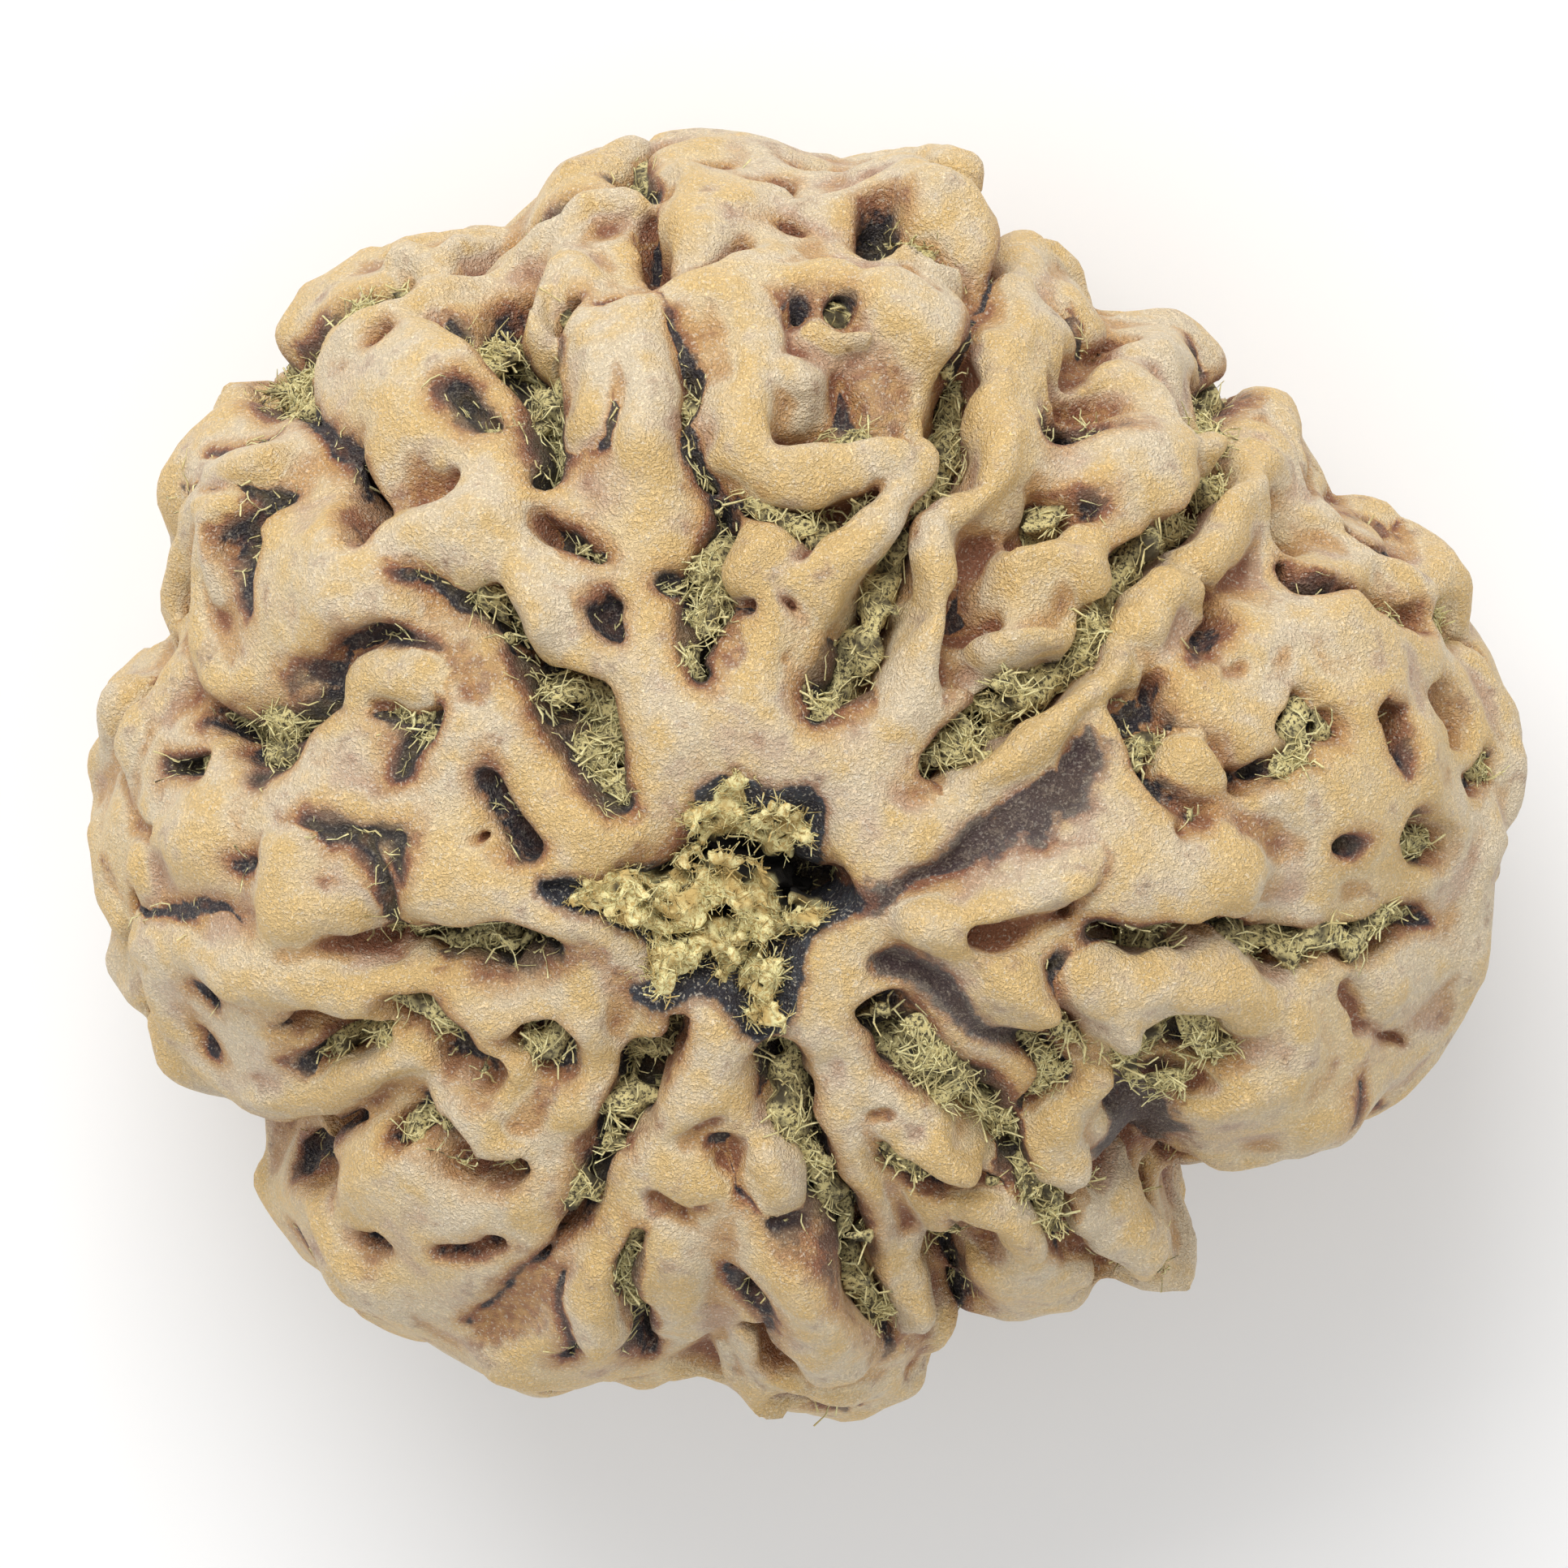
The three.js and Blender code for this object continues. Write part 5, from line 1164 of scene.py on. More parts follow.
    def lay(self, fills: Iterable[tuple[SetStroke, float]]) -> None:
        """Fill a block of air along strokes.

        Args:
            fills: Raised strokes, and how deep each reaches.
        """
        for fill, bottom in fills:
            for span in fill.spans():
                low, high = fill.bounds(span)
                part = self.part(low - 0.2, high)
                if self.holds_none(part):
                    continue
                at = self.at(part)
                shape = np.maximum(fill.shape(span, at), -fill.nearest(span, at)[1] - bottom)
                self.values[part] = np.minimum(self.values[part], shape)

    def look_up(self, points: Array, values: Array) -> Array:
        """Read values between the block's points.

        Args:
            points: (n, 3) places.
            values: A value for each of the block's points.

        Returns:
            The values at the places.
        """
        place = (points - np.array(self.low)) / self.pitch
        base = np.clip(np.floor(place).astype(int), 0, np.array(values.shape) - 2)
        part = np.clip(place - base, 0, 1)
        total = np.zeros(len(points))
        for corner in CORNERS:
            weight = np.prod(np.where(corner, part, 1 - part), axis=1)
            total += weight * values[tuple((base + corner).T)]
        return total

    def crowding(self, radius: float) -> Array:
        """Work out how much material is round each point.

        Args:
            radius: Radius that it is judged within, about.

        Returns:
            The share of material.
        """
        share = (self.values < 0).astype(np.float32)
        size = max(1, round(radius / self.pitch / 1.7))
        for axis in (0, 1, 2) * 3:
            share = self.box_mean(share, axis, size)
        return share

    @staticmethod
    def box_mean(values: Array, axis: int, size: int) -> Array:
        """Average each value with its neighbours on one axis.

        Args:
            values: The values.
            axis: The axis.
            size: Neighbours on either side.

        Returns:
            The means.
        """
        moved = np.moveaxis(values, axis, 0)
        padded = np.concatenate([np.repeat(moved[:1], size + 1, 0), moved, np.repeat(moved[-1:], size, 0)])
        total = np.cumsum(padded, axis=0, dtype=np.float32)
        mean = (total[2 * size + 1:] - total[:-(2 * size + 1)]) / (2 * size + 1)
        return np.moveaxis(mean, 0, axis)

    def surface(self) -> tuple[Array, Array]:
        """Find the material's surface.

        Each cell that the surface passes through gets one point, the mean of where its edges are
        crossed, and each crossed edge of the grid gets one face between its four cells.

        Returns:
            (n, 3) points and (m, 4) faces that face outward.
        """
        solid = self.values < 0
        cells = solid[:-1, :-1, :-1].astype(np.int8)
        for corner in CORNERS[1:]:
            cells = cells + solid[tuple(slice(1, None) if step else slice(None, -1) for step in corner)]
        index = np.argwhere((cells > 0) & (cells < len(CORNERS)))
        numbers = np.full(cells.shape, -1, np.int32)
        numbers[tuple(index.T)] = np.arange(len(index))
        corners = np.stack([self.values[tuple((index + corner).T)] for corner in CORNERS], axis=1)
        faces = np.concatenate([self.axis_faces(solid, numbers, axis) for axis in range(3)])
        return self.crossing_means(index, corners), faces

    def crossing_means(self, index: Array, corners: Array) -> Array:
        """Average where each cell's edges are crossed.

        Args:
            index: (n, 3) cells.
            corners: (n, 8) values at their corners.

        Returns:
            (n, 3) points.
        """
        total, count = np.zeros((len(index), 3)), np.zeros(len(index))
        for axis in range(3):
            for start in np.flatnonzero(CORNERS[:, axis] == 0):
                first, second = corners[:, start], corners[:, start + (4, 2, 1)[axis]]
                crossed = (first < 0) != (second < 0)
                share = np.where(crossed, first / np.where(crossed, first - second, 1), 0)
                spot = np.repeat(CORNERS[start][None, :].astype(float), len(index), axis=0)
                spot[:, axis] += share
                total += spot * crossed[:, None]
                count += crossed
        return np.array(self.low) + (index + total / count[:, None]) * self.pitch

    @staticmethod
    def axis_faces(solid: Array, numbers: Array, axis: int) -> Array:
        """Lay a face round each crossed grid edge that runs along one axis.

        Args:
            solid: Whether each grid point is in the material.
            numbers: Number of each cell's point.
            axis: Axis of the edges.

        Returns:
            (n, 4) faces.
        """
        first = np.moveaxis(solid, axis, 0)[:-1, 1:-1, 1:-1]
        second = np.moveaxis(solid, axis, 0)[1:, 1:-1, 1:-1]
        turned = np.moveaxis(numbers, axis, 0)
        found = np.argwhere(first != second)
        a, b, c = found.T
        ring = [turned[a, b, c], turned[a, b + 1, c], turned[a, b + 1, c + 1], turned[a, b, c + 1]]
        faces = np.stack(ring, axis=1)
        flip = first[a, b, c] != (axis == 1)
        return np.where(flip[:, None], faces, faces[:, ::-1])


class Reading:
    """A number that varies, written with + - * as any number is.

    Args:
        tree: Tree whose nodes the number belongs to.
        socket: Node output that gives it.
    """

    def __init__(self, tree: Tree, socket: Socket) -> None:
        """Note the tree and the output."""
        self.tree = tree
        self.socket = socket

    def reckon(self, operation: str, first: Any, second: Any) -> Reading:
        """Return the outcome of one sum on two numbers."""
        return self.tree.reading("ShaderNodeMath", {"operation": operation}, {0: first, 1: second})

    def __add__(self, other: Any) -> Reading:
        """Return the sum."""
        return self.reckon("ADD", self, other)

    def __mul__(self, other: Any) -> Reading:
        """Return the product."""
        return self.reckon("MULTIPLY", self, other)

    def __sub__(self, other: Any) -> Reading:
        """Return the difference."""
        return self.reckon("SUBTRACT", self, other)

    def __rsub__(self, other: Any) -> Reading:
        """Return the difference from a number."""
        return self.reckon("SUBTRACT", other, self)

    __radd__ = __add__
    __rmul__ = __mul__

    def eased(self, start: float, end: float) -> Reading:
        """Ease the number from 0 at the start to 1 at the end.

        Args:
            start: Number that gives 0.
            end: Number that gives 1.

        Returns:
            The eased number.
        """
        rises = start < end
        inputs = {0: self, 1: min(start, end), 2: max(start, end), 3: 1.0 - rises, 4: float(rises)}
        return self.tree.reading("ShaderNodeMapRange", {"interpolation_type": "SMOOTHSTEP"}, inputs)


class Tree:
    """A node tree in the making.

    Args:
        nodes: Tree that the nodes are added to.
    """

    def __init__(self, nodes: bpy.types.NodeTree) -> None:
        """Note the tree of nodes."""
        self.nodes = nodes

    def node(self, kind: str, settings: Values, inputs: Values) -> bpy.types.Node:
        """Add a node.

        Args:
            kind: Type of the node.
            settings: Its settings, made first.
            inputs: Values or links of its sockets, by name or number.

        Returns:
            The node.
        """
        node = self.nodes.nodes.new(kind)
        for name, value in settings.items():
            setattr(node, name, value)
        for name, value in inputs.items():
            socket = node.inputs[name]
            if isinstance(value, Reading):
                value = value.socket
            if isinstance(value, Socket):
                self.nodes.links.new(value, socket)
            elif isinstance(value, tuple) and len(socket.default_value) == 4:
                socket.default_value = (*value, 1.0)
            else:
                socket.default_value = value
        return node

    def out(self, kind: str, settings: Values, inputs: Values, output: int | str = 0) -> Socket:
        """Return one output of a new node."""
        return self.node(kind, settings, inputs).outputs[output]

    def reading(self, kind: str, settings: Values, inputs: Values, output: int | str = 0) -> Reading:
        """Return one output of a new node as a number that varies."""
        return Reading(self, self.out(kind, settings, inputs, output))


class Paint(Tree):
    """A material in the making: its nodes, and the readings and colours that feed its shader.

    Args:
        name: Name of the material.
    """

    def __init__(self, name: str) -> None:
        """Start a material with no nodes but its coordinates."""
        self.material = bpy.data.materials.new(name)
        self.material.use_nodes = True
        self.material.node_tree.nodes.clear()
        super().__init__(self.material.node_tree)
        self.coordinates = self.out("ShaderNodeTexCoord", {}, {}, "Object")

    def attribute(self, name: str) -> Reading:
        """Return a reading that the mesh holds at its points."""
        return self.reading("ShaderNodeAttribute", {"attribute_name": name}, {}, "Fac")

    def cloud(self, size: float, detail: float = 2.0, roughness: float = 0.5) -> Reading:
        """Return a random reading with patches of a size in millimetres, and finer layers in them."""
        inputs = {"Scale": 1 / (size * MILLIMETRE), "Detail": detail, "Roughness": roughness}
        return self.reading("ShaderNodeTexNoise", {}, {"Vector": self.coordinates, **inputs}, "Fac")

    def mixed(self, share: Any, first: Any, second: Any, blend: str = "MIX") -> Socket:
        """Return a colour between two colours."""
        settings = {"data_type": "RGBA", "blend_type": blend}
        return self.out("ShaderNodeMix", settings, {0: share, 6: first, 7: second}, 2)

    def bump(self, height: Reading, size: float) -> Socket:
        """Return a normal tilted by a height of a size in millimetres."""
        inputs = {"Height": height, "Distance": size * MILLIMETRE}
        return self.out("ShaderNodeBump", {}, inputs, "Normal")

    def finish(self, **inputs: Any) -> bpy.types.Material:
        """Feed the shader.

        Args:
            inputs: Values or links of its sockets, with _ for a space.

        Returns:
            The material.
        """
        named = {name.replace("_", " "): value for name, value in inputs.items()}
        shader = self.out("ShaderNodeBsdfPrincipled", {}, named)
        self.node("ShaderNodeOutputMaterial", {}, {"Surface": shader})
        return self.material


@dataclass(frozen=True)
class StoneFinish:
    """The stone's woody skin: orange crests, tan sides and blue-black edges, with hollows tinted ochre and
    rust that are partly its own colour and partly painted shade, and painted highlight specks.
    """

    crest: Colour = (0.79, 0.545, 0.235)
    tan: Colour = (0.82, 0.635, 0.37)
    grey: Colour = (0.79, 0.65, 0.45)
    ochre: Colour = (0.60, 0.33, 0.12)
    rust: Colour = (0.30, 0.115, 0.06)
    rim: Colour = (0.032, 0.028, 0.036)
    umber: Colour = (0.085, 0.045, 0.035)
    mauve: Colour = (0.56, 0.375, 0.285)
    deep: Colour = (0.12, 0.10, 0.055)
    shelf: Colour = (0.058, 0.063, 0.076)
    lint: Colour = (0.18, 0.158, 0.128)
    painted_glint: Colour = (0.95, 0.86, 0.70)

    def material(self) -> bpy.types.Material:
        """Paint the skin, one layer over the other.

        Returns:
            The material.
        """
        paint = Paint("woody-stone")
        crowd, edge, fibre = (paint.attribute(name) for name in ("crowd", "edge", "fibre"))
        ledge, rusty, dusk = (paint.attribute(name) for name in ("shelf", "rust", "dusk"))
        broad, mottle = paint.cloud(2.4, 3.0), paint.cloud(0.6, 4.0, 0.6)
        fleck, grain = paint.cloud(0.22, 3.0, 0.6), paint.cloud(0.055, 2.0, 0.7).eased(0.3, 0.7)
        blotch, speck = mottle - 0.5, fleck - 0.5
        # hollow is higher where more material crowds round a point. The ochre, mauve and rust it lays are
        # partly the seed's own colour and partly painted shade in the recesses.
        hollow = crowd + blotch * 0.16
        crest = hollow.eased(0.5, 0.4) * (broad + mottle * 0.6).eased(0.98, 0.66)
        blush = paint.cloud(1.7, 3.0).eased(0.48, 0.62) * hollow.eased(0.42, 0.52)
        near = edge + (paint.cloud(0.35, 3.0) - 0.5) * 0.3 + speck * 0.12
        strength = paint.cloud(1.2, 2.0).eased(0.35, 0.6)
        ramp = (rusty + blotch * 1.2 + speck * 0.4).eased(0.2, 0.8)
        ramp_tint = paint.mixed(fleck.eased(0.3, 0.65), self.ochre, self.rust)
        # Dark lining at the cuts' edges: partly the seed's own blue-black lining, and partly painted shade
        # that deepens to full black where more material crowds round, in crevices.
        soot_and_crevice_shade = near.eased(0.03, -0.06) * (0.55 + 0.45 * hollow.eased(0.48, 0.57))
        scab = paint.mixed((fleck + (grain - 0.5) * 0.3).eased(0.52, 0.68) * 0.6, self.rim, self.lint)
        # Dark floors of the cuts, darker toward their middles: partly the seed's own dark lining and partly
        # painted shade deep in the cuts.
        floor = near.eased(-0.05, -0.18) * (0.3 + 0.7 * (fleck + blotch).eased(0.35, 0.6))
        floor_tint = paint.mixed(fibre * 0.7, self.umber, self.deep)
        halo = (dusk + blotch * 1.4).eased(0.05, 0.45)
        bloom = (dusk + blotch * 1.4 + speck * 1.2).eased(0.3, 0.75)
        smoke = paint.mixed((fleck + blotch * 0.6).eased(0.46, 0.64), self.shelf, self.lint)
        bloom_tint = paint.mixed((dusk + blotch * 0.8).eased(0.6, 0.95) * 0.9, smoke, scab)
        verge = (ledge + blotch * 0.3 + speck * 0.3).eased(-0.2, -0.02)
        shelf = (ledge + blotch * 0.3 + speck * 0.2).eased(-0.03, 0.08)
        shelf_tint = paint.mixed(fleck.eased(0.4, 0.66), self.rim, self.shelf)
        colour = paint.mixed(broad.eased(0.4, 0.6), self.tan, self.grey)
        for share, tint in (
            (crest, self.crest), (hollow.eased(0.47, 0.57) * 0.8, self.ochre), (blush * 0.6, self.mauve),
            (hollow.eased(0.57, 0.68) * 0.9, self.rust),
            (near.eased(0.42, 0.1) * (0.3 + 0.5 * strength), self.ochre),
            (near.eased(0.16, 0.02) * (0.3 + 0.6 * strength), self.rust),
            (ramp * 0.7, ramp_tint), (soot_and_crevice_shade, scab), (floor, floor_tint), (halo * 0.6, self.rust),
            (bloom * 0.85, bloom_tint), (verge * 0.6, self.rust), (shelf, shelf_tint),
        ):
            colour = paint.mixed(share, colour, tint)
        colour = paint.mixed(1.0, colour, paint.mixed(grain, (0.86,) * 3, (1.14,) * 3), "MULTIPLY")
        # Painted highlights: pale specks mixed into the base colour, more on the tops and fewer on the dark
        # blooms.
        top = 1 - near.eased(0.05, -0.1)
        painted_glints = paint.cloud(0.06, 1.0).eased(0.58, 0.7) * (0.14 + 0.28 * top) * (1 - 0.6 * bloom)
        return paint.finish(
            Base_Color=paint.mixed(painted_glints, colour, self.painted_glint),
            Roughness=0.5 - crest * 0.12 + grain * 0.25,
            Normal=paint.bump(grain + fleck * 3.0, 0.035),
        )


@dataclass(frozen=True)
class ThreadFinish:
    """Dry plant fibre: pale yellow or olive, a little browner in places, and darkened by painted shade in
    recesses.

    Args:
        name: Name of the material.
        pale: Colour of clean fibre.
        dark: Colour of soiled fibre; on the mats, near black, it is partly painted shade in the gaps between
            the fibres.
        shade: How far the painted shade darkens it in recesses.
        sunk: Colour of the painted shade that it darkens to in recesses.
    """

    name: str
    pale: Colour
    dark: Colour
    shade: float = 1.0
    sunk: Colour = (0.025, 0.022, 0.018)

    def material(self) -> bpy.types.Material:
        """Paint the fibre.

        Returns:
            The material.
        """
        paint = Paint(self.name)
        soil_and_gap_shade, shred = paint.cloud(0.5, 3.0), paint.cloud(0.08, 4.0, 0.7)
        clean = soil_and_gap_shade.eased(0.3, 0.56) * shred.eased(0.4, 0.54)
        colour = paint.mixed(clean, self.dark, self.pale)
        # Painted shade: darker where the piece's reading says it lies deep in a recess.
        colour = paint.mixed(paint.attribute("sunk") * self.shade, colour, self.sunk)
        return paint.finish(Base_Color=colour, Roughness=0.75, Normal=paint.bump(shred, 0.06))


PITH_FINISH = ThreadFinish("pale-pith", (1.0, 0.92, 0.48), (0.64, 0.45, 0.16))
# The mats' near-black patches, laid at random, are partly dirt and partly painted shade in the gaps between
# fibres.
MAT_FINISH = ThreadFinish("matted-fibre", (0.78, 0.67, 0.31), (0.07, 0.055, 0.028))
FIBRE_FINISH = ThreadFinish("cleft-fibre", (1.0, 0.93, 0.50), (0.82, 0.69, 0.32), 0.35)


@dataclass(frozen=True)
class FloorFinish:
    """A plain pale matt floor."""

    colour: Colour = (0.95, 0.95, 0.95)

    def material(self) -> bpy.types.Material:
        """Return the material."""
        return Paint("pale-floor").finish(Base_Color=self.colour, Roughness=0.95)


def put_in_scene(thing: Piece) -> Piece:
    """Link an object to the scene and return it."""
    bpy.context.scene.collection.objects.link(thing)
    return thing


def make_piece(
    name: str, points: Array, faces: Array, material: bpy.types.Material
) -> Piece:
    """Make a mesh object in the frame from points about the seed's centre in millimetres.

    Args:
        name: Name of the piece.
        points: (n, 3) points.
        faces: (m, k) faces.
        material: Its material.

    Returns:
        The object.
    """
    mesh = bpy.data.meshes.new(name)
    mesh.vertices.add(len(points))
    placed = (points + np.array(SEED_CENTRE)) * MILLIMETRE
    mesh.vertices.foreach_set("co", placed.astype(np.float32).ravel())
    mesh.loops.add(faces.size)
    mesh.loops.foreach_set("vertex_index", faces.astype(np.int32).ravel())
    mesh.polygons.add(len(faces))
    mesh.polygons.foreach_set("loop_start", np.arange(0, faces.size, faces.shape[1], dtype=np.int32))
    mesh.update(calc_edges=True)
    mesh.validate()
    mesh.materials.append(material)
    return put_in_scene(bpy.data.objects.new(name, mesh))


def settle_modifiers(piece: Piece) -> None:
    """Turn a piece's modifiers into its own mesh, shaded smooth.

    Args:
        piece: The piece.
    """
    graph = bpy.context.evaluated_depsgraph_get()
    mesh = bpy.data.meshes.new_from_object(piece.evaluated_get(graph))
    old = piece.data
    piece.modifiers.clear()
    piece.data = mesh
    bpy.data.meshes.remove(old)
    mesh.name = piece.name
    mesh.shade_smooth()


def read_triples(layer: Any, name: str) -> Array:
    """Read three numbers for each row of a mesh's layer.

    Args:
        layer: The layer.
        name: Name of the numbers.

    Returns:
        (n, 3) numbers.
    """
    numbers = np.empty(len(layer) * 3)
    layer.foreach_get(name, numbers)
    return numbers.reshape(-1, 3)


def mesh_points(piece: Piece) -> Array:
    """Return a piece's points about the seed's centre, in millimetres."""
    return read_triples(piece.data.vertices, "co") / MILLIMETRE - np.array(SEED_CENTRE)


def hold(piece: Piece, name: str, values: Array) -> None:
    """Store a reading at a piece's points."""
    layer = piece.data.attributes.new(name, "FLOAT", "POINT")
    layer.data.foreach_set("value", values.astype(np.float32))


def largest_shell(points: Array, faces: Array) -> tuple[Array, Array]:
    """Keep the shell with the most points.

    Args:
        points: (n, 3) points.
        faces: (m, 4) faces.

    Returns:
        The points and faces of that shell.
    """
    label = np.arange(len(points))
    while True:
        least = label[faces].min(axis=1)
        joined = label.copy()
        for corner in range(faces.shape[1]):
            np.minimum.at(joined, faces[:, corner], least)
        joined = joined[joined]
        if np.array_equal(joined, label):
            break
        label = joined
    kept = label == np.bincount(label).argmax()
    number = np.cumsum(kept) - 1
    return points[kept], number[faces[kept[faces[:, 0]]]]


def relaxed(points: Array, faces: Array, share: float) -> Array:
    """Move each point some of the way to the middle of its neighbours.

    Args:
        points: (n, 3) points.
        faces: (m, 4) faces.
        share: Share of the way.

    Returns:
        The moved points.
    """
    total, count = np.zeros_like(points), np.zeros(len(points))
    for first, second in ((0, 1), (1, 2), (2, 3), (3, 0)):
        for a, b in ((first, second), (second, first)):
            for axis in range(3):
                total[:, axis] += np.bincount(faces[:, a], points[faces[:, b], axis], len(points))
            count += np.bincount(faces[:, a], minlength=len(points))
    return points + (total / count[:, None] - points) * share


@dataclass
class Bench:
    """What the stone and its mats are worked from, so that they fit each other.

    Args:
        relief: The seed's strokes.
        pitch: Size of a cell of the block it is worked in.
        low: Lowest corner of that block.
        high: Its highest corner.
        bends: Random bends of the whole seed.
    """

    relief: Relief
    pitch: float = 0.1
    low: Triple = (-14.6, -13.2, -10.2)
    high: Triple = (14.8, 13.4, 10.8)
    bends: Waves = ((0.65, 1.1, 11), (0.25, 0.4, 12))
    strokes: list[Any] = field(init=False)
    bend: Array = field(init=False)

    def __post_init__(self) -> None:
        """Set the strokes and draw the bend of the whole seed."""
        self.strokes = self.relief.set_strokes()
        block = Block(self.low, self.high, self.pitch)
        self.bend_block(block)
        self.bend = block.bend

    def bend_block(self, block: Block) -> None:
        """Bend a block's coordinates as all the seed is bent."""
        for size, spacing, seed in self.bends:
            block.bend_by(Waver(self.low, self.high, spacing, seed, 3), size)

    def block(self) -> Block:
        """Lay out a block of air for the whole seed.

        Returns:
            The block, with the seed's bend.
        """
        block = Block(self.low, self.high, self.pitch)
        block.bend = self.bend
        return block


def finish_skin(
    name: str, block: Block, finish: StoneFinish | ThreadFinish, limit: int, all_shells: bool = False
) -> Piece:
    """Make a thinned, smooth piece of a block's surface.

    Args:
        name: Name of the piece.
        block: Block that holds the material.
        finish: Finish of the piece.
        limit: Triangles that it is thinned to.
        all_shells: Whether separate bits are kept.

    Returns:
        The piece.
    """
    points, faces = block.surface()
    if not all_shells:
        points, faces = largest_shell(points, faces)
    piece = make_piece(name, relaxed(points, faces, share=0.3), faces, finish.material())
    LOG.info("%s: %d faces before thinning", name, len(faces))
    thin = piece.modifiers.new("thin", "DECIMATE")
    thin.ratio = min(1.0, limit / (2 * len(faces)))
    settle_modifiers(piece)
    return piece


# Readings that a lining raises, between two distances beside its stroke's edge
FADES = {Lining.BARE: ("rust", 0.2, -0.35), Lining.DUSK: ("dusk", 0.35, -0.25)}


def upper(points: Array) -> Array:
    """Return 1 for points on the star's side of the seed and 0 for those well under it."""
    return eased(points[:, 2], -1.5, 0.5)


@dataclass(frozen=True)
class Stone:
    """The woody stone in fine relief. It stands for the CAD node.

    Args:
        bench: What it is worked from.
        limit: Triangles that it is thinned to.
        wear: Radius within which its edges are worn down.
        grain: Random unevenness of its skin.
        margin: How far past a stroke's box it changes the readings.
        covered: Distances outside a ridge between which it covers what is under it.
        walled: Distance from a cut's shape within which the skin belongs to the cut.
        creep: How far a stain's edge lies inside its cut.
        fringe: Distances beside a cut's edge between which fibre colours it.
    """

    bench: Bench
    limit: int = 192000
    wear: float = 0.7
    grain: Waves = ((0.55, 1.6, 20), (0.27, 0.7, 21), (0.09, 0.3, 22))
    margin: float = 0.3
    covered: Pair = (0.16, 0.06)
    walled: float = 0.7
    creep: float = 0.04
    fringe: Pair = (0.0, -0.1)

    def build(self) -> Piece:
        """Work the stone out of its block.

        Returns:
            The finished piece.
        """
        block = self.bench.block()
        block.fill(self.bench.relief.body)
        block.work(self.bench.strokes)
        block.round_off(self.wear)
        block.roughen(*self.grain)
        block.keep_inside((-FLAT_DEPTH - block.axes[2])[None, None, :])
        piece = finish_skin("seed-stone", block, StoneFinish(), self.limit)
        self.dress(piece, block)
        return piece

    def dress(self, piece: Piece, block: Block) -> None:
        """Store what the finish reads at the stone's points.

        Args:
            piece: The stone.
            block: Block that it was worked in.
        """
        points = mesh_points(piece)
        bent = points + np.stack([block.look_up(points, bend) for bend in block.bend], axis=1)
        starts = {"edge": 1.0, "fibre": 0.0, "rust": 0.0, "dusk": 0.0, "shelf": -1.0}
        held = {name: np.full(len(points), start) for name, start in starts.items()}
        for stroke in self.bench.strokes:
            for span in stroke.spans():
                low, high = stroke.bounds(span)
                inside = (bent > low - self.margin) & (bent < high + self.margin)
                near = np.flatnonzero(inside.all(axis=1))
                self.stain(held, stroke, span, near, tuple(bent[near].T))
        for name, values in held.items():
            hold(piece, name, values)
        hold(piece, "crowd", block.look_up(points, block.crowding(0.55)))
        hold(piece, "strands", eased(held["edge"], -0.03, -0.12) * upper(points))

    def stain(
        self, held: dict[str, Array], stroke: SetStroke | SetOutline, span: Any, near: Array,
        at: Coordinates,
    ) -> None:
        """Change the readings of the points near one span of a stroke.

        Args:
            held: Readings of all points, by name.
            stroke: The stroke.
            span: Its span.
            near: Numbers of the points near it.
            at: Their coordinates.
        """
        edge, fibre, rust, dusk, shelf = held.values()
        lining = stroke.stroke.lining
        beside = stroke.beside(span, at)
        if stroke.stroke.kind is StrokeKind.RAISE:
            cover = eased(stroke.shape(span, at), *self.covered)
            edge[near] += (1.0 - edge[near]) * cover
            for reading in (fibre, rust, dusk):
                reading[near] *= 1 - cover
        elif lining in FADES:
            name, outer, inner = FADES[lining]
            held[name][near] = np.maximum(held[name][near], eased(beside, outer, inner))
        elif lining is Lining.SHELF:
            shelf[near] = np.maximum(shelf[near], -beside)
        elif lining is not Lining.NONE:
            beside = beside + (self.creep if lining is Lining.STAIN else 0.0)
            walled = stroke.shape(span, at) < self.walled
            edge[near] = np.where(walled, np.minimum(edge[near], beside), edge[near])
            fringe = eased(beside, *self.fringe) * (lining is Lining.FIBRE)
            fibre[near] = np.maximum(fibre[near], fringe)


